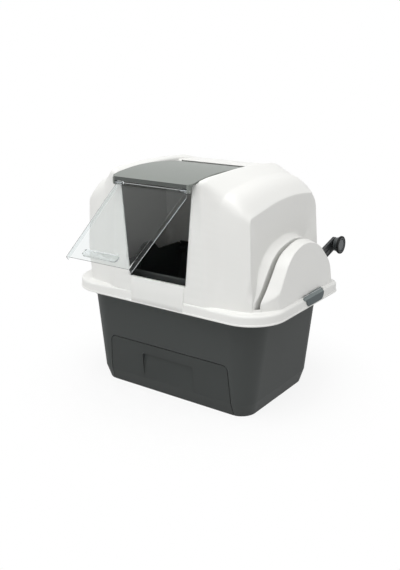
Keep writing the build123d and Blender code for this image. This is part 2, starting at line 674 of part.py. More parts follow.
# the lever's own plane: x runs out along the arm, z points away from the box
rest = radians(lever_rest_angle)
lever_plane = Plane((slot_x, 0, pivot_z), x_dir=(0, cos(rest), sin(rest)), z_dir=(1, 0, 0))
tang_start, tang_gap, arm_root = spigot_r + 3, 0.2, hub_r + 2
lever_screw_at = (tang_start + hub_r) / 2
arm_swell, arm_end, arm_edge = 96.0, lever_length + 15, 3.0

with BuildPart() as lever_hub:
    with BuildSketch(Plane.YZ.offset(hub_inner_x)):
        with Locations((0, pivot_z)):
            Circle(hub_r)
    extrude(amount=hub_thickness)
    fillet(lever_hub.faces().sort_by(Axis.X)[-1].edges(), 2.5)
    with BuildSketch(Plane.YZ.offset(hub_inner_x)):
        with Locations((0, pivot_z)):
            Circle(spigot_r)
    extrude(amount=spigot_length, mode=Mode.SUBTRACT)
    with BuildSketch(Plane.YZ.offset(hub_inner_x)):
        with Locations((0, pivot_z)):
            Circle(screw_r)
    extrude(amount=hub_thickness, mode=Mode.SUBTRACT)
    with BuildSketch(lever_plane):
        with Locations((tang_start + 20, 0)):
            Rectangle(40, tang_width + 2 * tang_gap)
    extrude(amount=(lever_thickness - 1) / 2 + tang_gap, both=True, mode=Mode.SUBTRACT)
    with BuildSketch(lever_plane):
        with Locations((lever_screw_at, 0)):
            Circle(screw_r)
    extrude(amount=hub_thickness, mode=Mode.SUBTRACT)
lever_hub.part.label = "lever_hub"
export_step(lever_hub.part, "parts/lever_hub.step")

with BuildPart() as lever_arm:
    with BuildSketch(lever_plane):
        with Locations(((tang_start + arm_root) / 2 + 2, 0)):
            Rectangle(arm_root - tang_start + 3, tang_width)
    extrude(amount=(lever_thickness - 1) / 2, both=True)
    with BuildSketch(lever_plane):
        with BuildLine():
            FilletPolyline((arm_root, -tang_width / 2 - 2), (arm_root, tang_width / 2 + 2),
                           (arm_swell, lever_width / 2), (arm_end, lever_width / 2),
                           (arm_end, -lever_width / 2), (arm_swell, -lever_width / 2),
                           close=True, radius=7)
        make_face()
        with Locations((arm_root + 4, 0)):
            Rectangle(8, tang_width + 4)
    extrude(amount=lever_thickness / 2, both=True)
    # hollow side panels between a rim and a rib
    for face_x in (-1, 1):
        with BuildSketch(lever_plane.offset(face_x * lever_thickness / 2)):
            for low, high in ((arm_edge - lever_width / 2, -1 - arm_edge), (-1, lever_width / 2 - arm_edge)):
                with Locations(((arm_swell + lever_length) / 2 - 6, (low + high) / 2)):
                    RectangleRounded(lever_length - arm_swell - 32, high - low, arm_edge)
        extrude(amount=-face_x * 1.6, mode=Mode.SUBTRACT)
    with BuildSketch(lever_plane):
        with Locations((lever_screw_at, 0)):
            Circle(screw_r)
        with Locations((lever_length, 0)):
            Circle(knob_pin_r)
    extrude(amount=lever_thickness, both=True, mode=Mode.SUBTRACT)
lever_arm.part.label = "lever_arm"
export_step(lever_arm.part, "parts/lever_arm.step")

hub_outer_x = hub_inner_x + hub_thickness
tang_screw_length = hub_thickness / 2 + lever_thickness / 2 - 0.5
lever_screws = []
for reach, length in ((0, spigot_length + 8), (lever_screw_at, tang_screw_length)):
    screw_place = (hub_outer_x, reach * cos(rest), pivot_z + reach * sin(rest))
    lever_screws.append(screw_form(Plane(screw_place, x_dir=(0, 1, 0), z_dir=(1, 0, 0)), length))
export_step(Compound(label="lever_screws", children=lever_screws), "parts/lever_screws.step")

# ---------------------------------------------------------------- knob
knob_y, knob_z = lever_length * cos(rest), pivot_z + lever_length * sin(rest)
knob_from_x = slot_x + lever_thickness / 2 + 2.5
knob_to_x = knob_from_x + knob_length
cup_r, cup_depth, pin_head_r, pin_head_t = 16.5, 9.0, 8.0, 2.6
cup_floor_x = knob_to_x - cup_depth
knob_axis_plane = Plane((knob_from_x, knob_y, knob_z), x_dir=(0, 1, 0), z_dir=(1, 0, 0))

with BuildPart() as knob:
    with BuildSketch(knob_axis_plane):
        Circle(knob_r)
    extrude(amount=knob_length)
    fillet(knob.faces().filter_by(Axis.X).edges(), 3)
    with BuildSketch(knob_axis_plane.offset(knob_length - cup_depth)):
        Circle(cup_r)
    extrude(amount=cup_depth, mode=Mode.SUBTRACT)
    with BuildSketch(knob_axis_plane):
        Circle(knob_pin_r + running_gap)
    extrude(amount=knob_length, mode=Mode.SUBTRACT)
knob.part.label = "knob"
export_step(knob.part, "parts/knob.step")

with BuildPart() as knob_cap:
    with BuildSketch(knob_axis_plane.offset(knob_length - 5)):
        Circle(cup_r)
    extrude(amount=3)
    fillet(knob_cap.faces().sort_by(Axis.X)[-1].edges(), 1)
knob_cap.part.label = "knob_cap"
export_step(knob_cap.part, "parts/knob_cap.step")

with BuildPart() as knob_pin:
    with BuildSketch(Plane((slot_x - lever_thickness / 2, knob_y, knob_z), x_dir=(0, 1, 0), z_dir=(1, 0, 0))):
        Circle(knob_pin_r)
    extrude(amount=cup_floor_x + touch_gap - slot_x + lever_thickness / 2)
    with BuildSketch(knob_axis_plane.offset(knob_length - cup_depth + touch_gap)):
        Circle(pin_head_r)
    extrude(amount=pin_head_t)
knob_pin.part.label = "knob_pin"
export_step(knob_pin.part, "parts/knob_pin.step")

# ---------------------------------------------------------------- hood
latch_gap = 0.8
latch_face_x = rim_half_x + 2.0
latch_low_z = rim_low_z + 4
ear_thickness, ear_gap = 3.5, 1.0
vent_count, vent_pitch, vent_low_z, vent_high_z = 7, 16.0, 452.0, 512.0
hinge_relief = 22.0

with BuildPart() as rim_solid:
    extrude(rim_section(rim_low_z, 0), amount=rim_top_z - rim_low_z)
    fillet(rim_solid.faces().sort_by(Axis.Z)[-1].edges(), 5)

with BuildPart() as hood_space:
    # everything inside the hood's walls
    add(hood_body(wall))
    add(band_form(wall))
    add(recess_form(recess_half + wall, wall), mode=Mode.SUBTRACT)
    add(housing_form(wall, panel_top_x - 12, housing_face_x - wall))

with BuildPart() as hood:
    add(rim_solid.part)
    extrude(rim_section(rim_low_z, wall), amount=rim_top_z - wall - rim_low_z, mode=Mode.SUBTRACT)
    add(hood_body(0))
    add(band_form(0))
    add(housing_form(0, panel_top_x - 7, slot_low_x))
    add(hood_space.part, mode=Mode.SUBTRACT)
    # sill of the entry, flush with the rim
    with BuildSketch(Plane.YZ):
        with BuildLine():
            Polyline((rim_front_y, rim_top_z - 8), (rim_front_y, entry_low_z - 26), (face_y - 1, entry_low_z),
                     (face_y + wall, entry_low_z), (face_y + wall, rim_top_z - 8), close=True)
        make_face()
    extrude(amount=entry_low_half, both=True)
    # seat of the lid between the shoulders, then the entry and the top opening
    add(recess_form(recess_half, 0), mode=Mode.SUBTRACT)
    with BuildSketch(Plane.XZ.offset(-face_y - 32)):
        with BuildLine():
            Polyline((-entry_low_half, entry_low_z), (-entry_top_half, door_axis_z),
                     (-entry_top_half, door_axis_z + far), (entry_top_half, door_axis_z + far),
                     (entry_top_half, door_axis_z), (entry_low_half, entry_low_z), close=True)
        make_face()
    extrude(amount=60, mode=Mode.SUBTRACT)
    with Locations((0, (top_opening_back_y - far) / 2, door_axis_z + far / 2)):
        Box(2 * entry_top_half, far + top_opening_back_y, far, mode=Mode.SUBTRACT)
    # room at the hinge for the lid's rear corners as it tips back
    with Locations((0, top_opening_back_y - hinge_relief / 2, lid_axis_z)):
        Box(2 * (lid_half_x - 4), hinge_relief, hinge_relief, mode=Mode.SUBTRACT)
    # sockets of the lid's pins
    with BuildSketch(Plane.YZ):
        with Locations((lid_axis_y, lid_axis_z)):
            Circle(lid_pin_r + running_gap)
    extrude(amount=recess_half + wall, both=True, mode=Mode.SUBTRACT)
    # vents at the back
    with BuildSketch(Plane.XZ.offset(-back_y - 10)):
        with Locations(*[(i * vent_pitch, (vent_low_z + vent_high_z) / 2)
                         for i in range(-(vent_count // 2), vent_count // 2 + 1)]):
            SlotOverall(vent_high_z - vent_low_z, vent_pitch / 2, rotation=90)
    extrude(amount=20, mode=Mode.SUBTRACT)
    # windows and ears of the side latches
    for side in (-1, 1):
        with BuildSketch(Plane.YZ.offset(side * (rim_half_x - 12))):
            with Locations((latch_y, rim_top_z)):
                RectangleRounded(2 * (latch_half + latch_gap), 2 * (rim_top_z - latch_low_z + latch_gap), 18)
        extrude(amount=side * 30, mode=Mode.SUBTRACT)
        ear_middle = latch_half + ear_gap + ear_thickness / 2
        for y in (latch_y - ear_middle, latch_y + ear_middle):
            with BuildSketch(Plane.XZ.offset(-y)):
                with Locations((side * latch_axis_x, latch_axis_z)):
                    Circle(latch_barrel_r)
                with Locations((side * latch_axis_x, (latch_axis_z + rim_top_z - 1) / 2)):
                    Rectangle(2 * latch_barrel_r, latch_axis_z - rim_top_z + 1)
                with Locations((side * latch_axis_x, latch_axis_z)):
                    Circle(latch_pin_r, mode=Mode.SUBTRACT)
            extrude(amount=ear_thickness / 2, both=True)
hood.part.label = "hood"
export_step(hood.part, "parts/hood.step")

# the outer half of the lever's housing stands on the rim, one slot away from the hood
with BuildPart() as lever_housing:
    add(housing_form(0, slot_high_x, housing_face_x))
    add(housing_form(wall, slot_high_x - 1, housing_face_x - wall), mode=Mode.SUBTRACT)
    split(bisect_by=Plane.XY.offset(rim_top_z), keep=Keep.TOP)
lever_housing.part.label = "lever_housing"
export_step(lever_housing.part, "parts/lever_housing.step")

# ---------------------------------------------------------------- side latches
for side, name in ((-1, "left"), (1, "right")):
    with BuildPart() as latch:
        # top plate, face and barrel
        with BuildSketch(Plane.XZ.offset(-latch_y)):
            with BuildLine():
                Polyline((side * latch_axis_x, latch_axis_z + latch_barrel_r - 0.6),
                         (side * (latch_face_x - 3), latch_axis_z + latch_barrel_r - 0.6),
                         (side * latch_face_x, latch_axis_z + latch_barrel_r - 4),
                         (side * latch_face_x, latch_low_z),
                         (side * (latch_face_x - latch_plate), latch_low_z),
                         (side * (latch_face_x - latch_plate), rim_top_z + latch_gap),
                         (side * latch_axis_x, rim_top_z + latch_gap), close=True)
            make_face()
            with Locations((side * latch_axis_x, latch_axis_z)):
                Circle(latch_barrel_r)
        extrude(amount=latch_half, both=True)
        # the face has round lower corners
        with BuildSketch(Plane.YZ.offset(side * (latch_axis_x - 10))):
            with Locations((latch_y, rim_top_z + 10)):
                RectangleRounded(2 * latch_half, 2 * (rim_top_z + 10 - latch_low_z), 17)
        extrude(amount=side * 60, mode=Mode.INTERSECT)
        # hook under the tub's bead
        with Locations((side * (latch_face_x - latch_plate - 2.2), latch_y, bead_low_z - 4.0)):
            Box(5.4, 2 * latch_half - 30, 4)
        with BuildSketch(Plane.XZ):
            with Locations((side * latch_axis_x, latch_axis_z)):
                Circle(latch_pin_r + running_gap)
        extrude(amount=200, both=True, mode=Mode.SUBTRACT)
    latch.part.label = name + "_latch"
    export_step(latch.part, "parts/" + name + "_latch.step")

latch_pin_half = latch_half + ear_gap + ear_thickness
latch_pins = []
for side in (-1, 1):
    with BuildPart() as latch_pin:
        with BuildSketch(Plane.XZ.offset(-latch_y)):
            with Locations((side * latch_axis_x, latch_axis_z)):
                Circle(latch_pin_r)
        extrude(amount=latch_pin_half, both=True)
    latch_pins.append(latch_pin.part)
export_step(Compound(label="latch_pins", children=latch_pins), "parts/latch_pins.step")

# ---------------------------------------------------------------- lid
ear_x = door_top_half + 2.5
with BuildPart() as lid:
    with BuildSketch(Plane.YZ):
        with BuildLine():
            top = Spline(*lid_curve(0))
            under = Spline(*lid_curve(lid_thickness))
            Line(top @ 0, under @ 0)
            Line(top @ 1, under @ 1)
        make_face()
    extrude(amount=lid_half_x, both=True)
    # lip along the front edge, then the plan's round corners
    with Locations((0, lid_front_y + wall / 2, lid_front_z - 1 - lid_lip / 2)):
        Box(2 * lid_half_x, wall, lid_lip)
    with BuildSketch(Plane.XY.offset(lid_front_z - 25)):
        with Locations((0, (lid_front_y + lid_axis_y) / 2)):
            RectangleRounded(2 * lid_half_x, lid_axis_y - lid_front_y, 16)
    extrude(amount=60, mode=Mode.INTERSECT)
    with BuildSketch(Plane.YZ):
        with Locations((lid_axis_y, lid_axis_z)):
            Circle(lid_barrel_r)
    extrude(amount=lid_half_x - 16, both=True)
    # ears that carry the door
    for side in (-1, 1):
        with BuildSketch(Plane.YZ.offset(side * ear_x)):
            with BuildLine():
                Polyline((lid_front_y + 1, lid_front_z - 2), (lid_front_y + 1, door_axis_z),
                         (door_axis_y + 6, door_axis_z), (door_axis_y + 16, lid_front_z + 1), close=True)
            make_face()
            with Locations((door_axis_y, door_axis_z)):
                Circle(door_pin_r + 4)
        extrude(amount=side * door_ear_t)
    with BuildSketch(Plane.YZ):
        with Locations((door_axis_y, door_axis_z)):
            Circle(door_pin_r)
    extrude(amount=200, both=True, mode=Mode.SUBTRACT)
    with BuildSketch(Plane.YZ):
        with Locations((lid_axis_y, lid_axis_z)):
            Circle(lid_pin_r)
    extrude(amount=200, both=True, mode=Mode.SUBTRACT)
lid.part.label = "lid"
export_step(lid.part, "parts/lid.step")

lid_pins = [pin_along_x(lid_pin_r, side * (lid_half_x - 36), side * (recess_half + wall - 0.5),
                        lid_axis_y, lid_axis_z) for side in (-1, 1)]
export_step(Compound(label="lid_pins", children=lid_pins), "parts/lid_pins.step")

# ---------------------------------------------------------------- door
door_axis = Axis((0, door_axis_y, door_axis_z), (1, 0, 0))
barrel_r = door_pin_r + 3
handle_half, handle_height, handle_up, handle_proud = 55.0, 20.0, 20.0, 4.0

with BuildPart() as door_closed:
    low_z = door_axis_z - door_length
    with BuildSketch(Plane.XZ.offset(-door_axis_y)):
        with BuildLine():
            Polyline((-door_low_half, low_z), (-door_top_half, door_axis_z), (door_top_half, door_axis_z),
                     (door_low_half, low_z), close=True)
        make_face()
    extrude(amount=door_thickness / 2, both=True)
    for side in (-1, 1):
        with BuildSketch(Plane.XZ.offset(-door_axis_y)):
            with BuildLine():
                Polyline((side * door_low_half, low_z), (side * door_top_half, door_axis_z - 12),
                         (side * (door_top_half - door_thickness), door_axis_z - 12),
                         (side * (door_low_half - door_thickness), low_z), close=True)
            make_face()
        extrude(amount=-door_return)
    with BuildSketch(Plane.YZ):
        with Locations((door_axis_y, door_axis_z)):
            Circle(barrel_r)
    extrude(amount=door_top_half, both=True)
    with BuildSketch(Plane.XZ.offset(-door_axis_y)):
        with Locations((0, low_z + handle_up)):
            SlotOverall(2 * handle_half, handle_height)
    extrude(amount=door_thickness / 2 + handle_proud)
    with BuildSketch(Plane.YZ):
        with Locations((door_axis_y, door_axis_z)):
            Circle(door_pin_r + running_gap)
    extrude(amount=200, both=True, mode=Mode.SUBTRACT)
door = door_closed.part.rotate(door_axis, -door_rest_angle)
door.label = "door"
export_step(door, "parts/door.step")

door_pins = [pin_along_x(door_pin_r, side * (door_top_half - 20), side * (ear_x + door_ear_t),
                         door_axis_y, door_axis_z) for side in (-1, 1)]
export_step(Compound(label="door_pins", children=door_pins), "parts/door_pins.step")

# ---------------------------------------------------------------- odour filter
filter_half, filter_low_z, filter_high_z, filter_thickness = 70.0, 444.0, 520.0, 9.0
filter_wall, bar_count = 2.0, 8
filter_back_y = back_y - wall
filter_middle_z = (filter_low_z + filter_high_z) / 2

with BuildPart() as filter_frame:
    with BuildSketch(Plane.XZ.offset(-filter_back_y)):
        with Locations((0, filter_middle_z)):
            RectangleRounded(2 * (filter_half + filter_wall + touch_gap),
                             filter_high_z - filter_low_z + 2 * (filter_wall + touch_gap), 6)
            RectangleRounded(2 * (filter_half + touch_gap), filter_high_z - filter_low_z + 2 * touch_gap, 4,
                             mode=Mode.SUBTRACT)
    extrude(amount=filter_thickness + filter_wall + 0.5)
    with BuildSketch(Plane.XZ.offset(-filter_back_y + filter_thickness + 0.5)):
        with Locations((0, filter_middle_z)):
            with GridLocations(2 * filter_half / bar_count, 1, bar_count - 1, 1):
                Rectangle(4, filter_high_z - filter_low_z + 2)
            Rectangle(2 * filter_half + 2, 4)
    extrude(amount=filter_wall)
filter_frame.part.label = "filter_frame"
export_step(filter_frame.part, "parts/filter_frame.step")

with BuildPart() as filter_pad:
    with BuildSketch(Plane.XZ.offset(-filter_back_y)):
        with Locations((0, filter_middle_z)):
            RectangleRounded(2 * filter_half, filter_high_z - filter_low_z, 4)
    extrude(amount=filter_thickness)
filter_pad.part.label = "filter_pad"
export_step(filter_pad.part, "parts/filter_pad.step")
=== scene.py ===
# %% [markdown]
# # A hooded litter box that sifts by hand
# The real thing is a handful of injection-moulded shells: a dark tub, a white hood, a grey lid
# with a clear door, and a black lever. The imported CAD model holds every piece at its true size.
# This lesson dresses it: the shells get the soft blends that a mould leaves, and every surface
# gets the finish of its plastic.

# %% Load the frame
import json

import bmesh
import bpy
import numpy as np
from mathutils import Matrix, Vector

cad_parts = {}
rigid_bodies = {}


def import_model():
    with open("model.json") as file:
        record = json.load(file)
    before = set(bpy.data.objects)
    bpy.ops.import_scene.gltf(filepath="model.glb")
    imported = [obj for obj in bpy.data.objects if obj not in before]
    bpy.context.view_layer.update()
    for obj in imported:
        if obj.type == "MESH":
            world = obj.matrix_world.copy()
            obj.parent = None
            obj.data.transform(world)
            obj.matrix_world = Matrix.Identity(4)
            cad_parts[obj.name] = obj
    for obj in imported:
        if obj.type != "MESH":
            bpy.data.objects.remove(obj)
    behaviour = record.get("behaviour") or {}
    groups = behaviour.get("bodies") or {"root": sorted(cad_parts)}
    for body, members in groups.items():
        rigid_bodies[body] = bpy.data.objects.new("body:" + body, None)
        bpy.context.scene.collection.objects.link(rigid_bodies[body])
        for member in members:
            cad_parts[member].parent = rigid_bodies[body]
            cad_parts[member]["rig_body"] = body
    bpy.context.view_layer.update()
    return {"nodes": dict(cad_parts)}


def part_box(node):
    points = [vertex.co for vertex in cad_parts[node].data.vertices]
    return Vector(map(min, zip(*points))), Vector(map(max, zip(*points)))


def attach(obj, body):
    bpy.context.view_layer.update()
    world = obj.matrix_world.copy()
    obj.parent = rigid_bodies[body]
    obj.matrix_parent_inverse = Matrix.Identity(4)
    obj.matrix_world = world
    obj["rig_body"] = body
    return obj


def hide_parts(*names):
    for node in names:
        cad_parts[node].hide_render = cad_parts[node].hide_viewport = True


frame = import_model()
nodes = frame["nodes"]
print("CAD nodes:", len(nodes))

# %% [markdown]
# ## Sizes from the frame
# What is made here has to sit where its CAD twin sits, so the driving sizes are read from the
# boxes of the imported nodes. All of this lesson's own sizes are in millimetres.

# %% Boxes in millimetres
MM = 0.001


def box_mm(node):
    """The lowest and the highest corner of a CAD node, in millimetres to three decimals."""
    return np.round(np.array([tuple(corner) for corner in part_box(node)]) / MM, 3)


hood_near, hood_far = box_mm("hood")
housing_near, housing_far = box_mm("lever_housing")
print("hood:", hood_far - hood_near, "mm, lever housing:", housing_far - housing_near, "mm")

# %% [markdown]
# ## Colours and nodes
# Colours are written as the sRGB hex values one would read off a swatch. A shader works in linear
# light, so one function turns them: each channel is divided by 12.92 where it is dark, and raised
# to the power 2.4 elsewhere.

# %% Colour helper


def linear(swatch):
    """An sRGB hex colour as linear red, green, blue and alpha."""
    channels = np.array([int(swatch[i:i + 2], 16) for i in (1, 3, 5)]) / 255
    low = channels / 12.92
    high = ((channels + 0.055) / 1.055) ** 2.4
    return (*np.where(channels <= 0.04045, low, high), 1.0)


print("a mid grey swatch reflects", round(float(linear("#7F7F7F")[0]), 3), "of the light")

# %% [markdown]
# Every material is a small tree of nodes. One helper adds a node with its settings and its links,
# and another starts a material with its Principled shader. The patterns read Object coordinates,
# so a pattern is as large on a screw as it is on the hood.

# %% Node helpers


def add(tree, kind, settings=None, **links):
    """Adds a node. Settings are attributes or input values, links are sockets that feed its inputs."""
    node = tree.nodes.new(kind)
    for name, value in (settings or {}).items():
        if name in node.inputs:
            node.inputs[name].default_value = value
        else:
            setattr(node, name, value)
    for name, socket in links.items():
        tree.links.new(socket, node.inputs[name.replace("_", " ")])
    return node


def new_material(name):
    """An empty node material, with its tree, its Principled shader and its Object coordinates."""
    material = bpy.data.materials.new(name)
    material.use_nodes = True
    tree = material.node_tree
    tree.nodes.clear()
    shader = add(tree, "ShaderNodeBsdfPrincipled")
    add(tree, "ShaderNodeOutputMaterial", Surface=shader.outputs["BSDF"])
    place = add(tree, "ShaderNodeTexCoord").outputs["Object"]
    return material, tree, shader, place


# %% [markdown]
# ## Moulded plastics
# Nearly every piece is polypropylene or nylon from a steel mould. Two things tell the eye so. The
# mould's spark-eroded grain breaks up the highlight, and the melt, which cools on its way, leaves a
# very slow change of tone. A flat colour would look like paint. One recipe makes them all: the
# colour is multiplied by 1 minus drift to 1 plus drift along a wide noise, and a fine noise moves
# the roughness and the height. A real grain is 0.05 to 0.1 mm wide, too fine to show from this far,
# so it is drawn about a millimetre wide.

# %% Plastic recipe
flow_per_metre = 6.0
grain_height = 0.4 * MM
grain_gloss = 0.05
plastic_ior = 1.49
# In front of this plane the lid's lip is painted darker, as shade.
lip_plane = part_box("lid")[0][1] + 1.0 * MM
lip_edge_width = 0.6 * MM


def painted_shade_lip_colour(tree, place, body_colour, lip):
    """The body's colour, which turns to a darker colour painted on the lip as shade, in front of a plane 1
    mm behind the lid's edge.
    """
    depth = add(tree, "ShaderNodeSeparateXYZ", Vector=place).outputs["Y"]
    front = add(tree, "ShaderNodeMapRange", {"From Min": lip_plane, "From Max": lip_plane - lip_edge_width},
                Value=depth)
    edge = add(tree, "ShaderNodeMix", {"data_type": "RGBA"}, Factor=front.outputs["Result"], A=body_colour)
    edge.inputs["B"].default_value = linear(lip)
    return edge.outputs["Result"]


def moulded_plastic(name, colour, roughness, grain_mm, grain_depth, drift=0.04, specular=0.5, lip=None):
    """Moulded plastic: a base colour that drifts slowly, and a fine grain in the gloss and the height.

    grain_mm is the grain's width, and lip a darker colour painted on the lid's front edge as shade."""
    material, tree, shader, place = new_material(name)
    flow = add(tree, "ShaderNodeTexNoise", {"Scale": flow_per_metre, "Detail": 2.0}, Vector=place)
    tone = add(tree, "ShaderNodeMix", {"data_type": "RGBA"}, Factor=flow.outputs["Fac"])
    base = np.array(linear(colour))
    tone.inputs["A"].default_value = (*(base[:3] * (1 - drift)), 1)
    tone.inputs["B"].default_value = (*np.minimum(base[:3] * (1 + drift), 1), 1)
    colour_out = tone.outputs["Result"]
    # The lid's front edge is painted darker here, as shade.
    if lip:
        colour_out = painted_shade_lip_colour(tree, place, colour_out, lip)
    tree.links.new(colour_out, shader.inputs["Base Color"])
    grain = add(tree, "ShaderNodeTexNoise", {"Scale": 1 / (grain_mm * MM), "Detail": 3.0}, Vector=place)
    gloss = {"To Min": roughness - grain_gloss, "To Max": roughness + grain_gloss}
    spread = add(tree, "ShaderNodeMapRange", gloss, Value=grain.outputs["Fac"])
    tree.links.new(spread.outputs["Result"], shader.inputs["Roughness"])
    bump = add(tree, "ShaderNodeBump", {"Strength": grain_depth, "Distance": grain_height},
               Height=grain.outputs["Fac"])
    tree.links.new(bump.outputs["Normal"], shader.inputs["Normal"])
    shader.inputs["IOR"].default_value = plastic_ior
    shader.inputs["Specular IOR Level"].default_value = specular
    return material


# %% [markdown]
# The large shells come first. The tub is charcoal, and its deep grain makes it matt, with one
# broad dull highlight; the drawer's front is a shade darker, and that darkness is painted shade. The hood
# is smoother and nearly even in tone, so that only its form shades it. The lid is a grey of the same
# finish, and its lip is painted darker as shade.

# %% Plastics of the shells
tub_pp = moulded_plastic("charcoal polypropylene, fine spark-eroded", "#404342", 0.6, 1.2, 0.35,
                         specular=0.3)
# The drawer front's darker colour is painted shade.
drawer_painted_shade_pp = moulded_plastic("charcoal polypropylene, drawer front", "#3A3D3C", 0.6, 1.2, 0.35,
                            specular=0.3)
hood_pp = moulded_plastic("white polypropylene, satin", "#ECECE9", 0.42, 1.5, 0.12, drift=0.01)
# Its darker lip is painted shade.
lid_pp = moulded_plastic("mid grey polypropylene, satin", "#7C817C", 0.42, 1.5, 0.15, lip="#4B4F4C")
print("shell plastics:", tub_pp.name, "|", drawer_painted_shade_pp.name, "|", hood_pp.name, "|", lid_pp.name)

# %% [markdown]
# The hand touches the lever, the knob and the latches. Glass-filled nylon makes the lever near
# black with a soft sheen. The knob's body is a lighter grey, so its black ring, a matt elastomer
# that hardly shines, reads as rubber, and its smooth cap catches the sharpest light. The latches
# are a blue-grey. The face that the fingers pull has a coarser texture, and its darker colour is painted
# shade.

# %% Plastics of the controls
lever_pa = moulded_plastic("black glass-filled nylon, satin", "#26292B", 0.45, 0.8, 0.2)
grip_pp = moulded_plastic("knob polypropylene, satin", "#3D4142", 0.45, 1.0, 0.15)
tyre_tpe = moulded_plastic("knob ring of soft elastomer, matt", "#0D0E0F", 0.7, 0.8, 0.2, specular=0.3)
cap_pp = moulded_plastic("knob cap polypropylene, smooth", "#474C4E", 0.4, 1.0, 0.1)
latch_pp = moulded_plastic("blue-grey polypropylene, satin", "#6D7777", 0.42, 1.2, 0.2)
# The face's coarser grain is real; its darker colour is painted shade.
latch_face_painted_shade_pp = moulded_plastic("blue-grey polypropylene, coarse spark-eroded", "#5A6264", 0.6, 1.2, 0.4,
                                specular=0.3)
print("control plastics:", lever_pa.name, "|", tyre_tpe.name, "|", latch_pp.name)

# %% [markdown]
# Inside are the works, in plain greys. The drum is dark, so the entry reads as a deep opening. The
# bins and cradles are a middle grey, and the sieve is pale and stands out against the drum. The
# bearing shoes are acetal: slippery, a little glossy, and the yellowish white of bone.

# %% Plastics of the works
drum_pp = moulded_plastic("dark grey polypropylene, drum", "#3A3D3C", 0.5, 1.5, 0.2)
inner_pp = moulded_plastic("grey polypropylene, inner parts", "#565A59", 0.5, 1.5, 0.2)
sieve_pp = moulded_plastic("pale grey polypropylene, sieve", "#8B8F8C", 0.5, 1.5, 0.2)
acetal = moulded_plastic("natural acetal, turned", "#D8D4C6", 0.35, 1.0, 0.05)
print("inner plastics:", drum_pp.name, "|", inner_pp.name, "|", sieve_pp.name, "|", acetal.name)

# %% [markdown]
# ## Clear plastic, steel and felt
# The door is moulded styrene. It shows only as fine edges and a faint reflection, so its index is
# set below the real 1.59: a thin sheet then bends the view as little as the eye notices. The zinc
# on the pins and screws is a bright metal whose gloss changes a little, as rolled wire does. The
# filter is a mat of black fibres with no highlight at all. Streaks and fibres are drawn a
# millimetre or more wide, since the real ones, a tenth of that, wouldn't show.

# %% Clear styrene
clear_ior = 1.22


def clear_plastic():
    """Clear moulded styrene: almost no tint, and a polish that shows the room."""
    material, tree, shader, place = new_material("clear polystyrene, polished")
    shader.inputs["Base Color"].default_value = linear("#F4F7F7")
    shader.inputs["Transmission Weight"].default_value = 1.0
    shader.inputs["Roughness"].default_value = 0.03
    shader.inputs["IOR"].default_value = clear_ior
    return material


clear_ps = clear_plastic()
print("door:", clear_ps.name)

# %% Zinc-plated steel
streaks_per_metre = 900.0


def plated_steel():
    """Zinc-plated steel: a metal whose roughness moves between 0.2 and 0.38 along a fine noise."""
    material, tree, shader, place = new_material("zinc-plated steel, bright")
    shader.inputs["Base Color"].default_value = linear("#B9BBBD")
    shader.inputs["Metallic"].default_value = 1.0
    streaks = add(tree, "ShaderNodeTexNoise", {"Scale": streaks_per_metre, "Detail": 2.0}, Vector=place)
    spread = add(tree, "ShaderNodeMapRange", {"To Min": 0.2, "To Max": 0.38}, Value=streaks.outputs["Fac"])
    tree.links.new(spread.outputs["Result"], shader.inputs["Roughness"])
    return material


steel = plated_steel()
print("pins and screws:", steel.name)

# %% Carbon felt
fibres_per_metre = 700.0
fibre_height = 1.0 * MM


def carbon_felt():
    """Needled felt: two near blacks mixed along a fine noise, which also raises the surface."""
    material, tree, shader, place = new_material("activated-carbon felt, needled")
    fibres = add(tree, "ShaderNodeTexNoise", {"Scale": fibres_per_metre, "Detail": 4.0}, Vector=place)
    tone = add(tree, "ShaderNodeMix", {"data_type": "RGBA"}, Factor=fibres.outputs["Fac"])
    tone.inputs["A"].default_value = linear("#1B1C1D")
    tone.inputs["B"].default_value = linear("#3A3B3D")
    tree.links.new(tone.outputs["Result"], shader.inputs["Base Color"])
    bump = add(tree, "ShaderNodeBump", {"Strength": 0.8, "Distance": fibre_height},
               Height=fibres.outputs["Fac"])
    tree.links.new(bump.outputs["Normal"], shader.inputs["Normal"])
    shader.inputs["Roughness"].default_value = 0.95
    return material


felt = carbon_felt()
print("filter:", felt.name)

# %% [markdown]
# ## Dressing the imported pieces
# The works are right as they are packed, so they only get their finish. Whatever has no entry here
# is a pin or a screw, and those are steel.

# %% Finish of each node
finish_of = {
    "tub": tub_pp, "drawer_front": drawer_painted_shade_pp, "hood": hood_pp, "lever_housing": hood_pp,
    "lid": lid_pp, "door": clear_ps, "filter_frame": hood_pp, "filter_pad": felt,
    "lever_hub": lever_pa, "lever_arm": lever_pa, "knob": lever_pa, "knob_cap": cap_pp,
    "left_latch": latch_pp, "right_latch": latch_pp,
    "waste_chute": inner_pp, "drawer_bin": inner_pp, "liner_frame": inner_pp,
    "left_cradle": inner_pp, "right_cradle": inner_pp,
    "left_bearing_shoe": acetal, "right_bearing_shoe": acetal,
    "litter_pan": drum_pp, "left_cheek": drum_pp, "right_cheek": drum_pp,
    "left_trunnion": drum_pp, "right_trunnion": drum_pp, "sieve": sieve_pp,
}
for name, node in nodes.items():
    node.data.materials.clear()
    node.data.materials.append(finish_of.get(name, steel))
print("steel pieces:", sorted(set(nodes) - set(finish_of)))

# %% [markdown]
# ## Surfaces from arrays
# A moulded shell is one skin with a wall. Each skin is a grid of points worked out as whole arrays.
# Its lines are chains of corners, and each corner is rounded by a conic arc, which is how a
# draughtsman would blend two runs. The same call rounds one chain or a whole family of chains, so
# a blend may grow or fade along an edge. A bevel can't do that: it has one width.

# %% Rounded chains


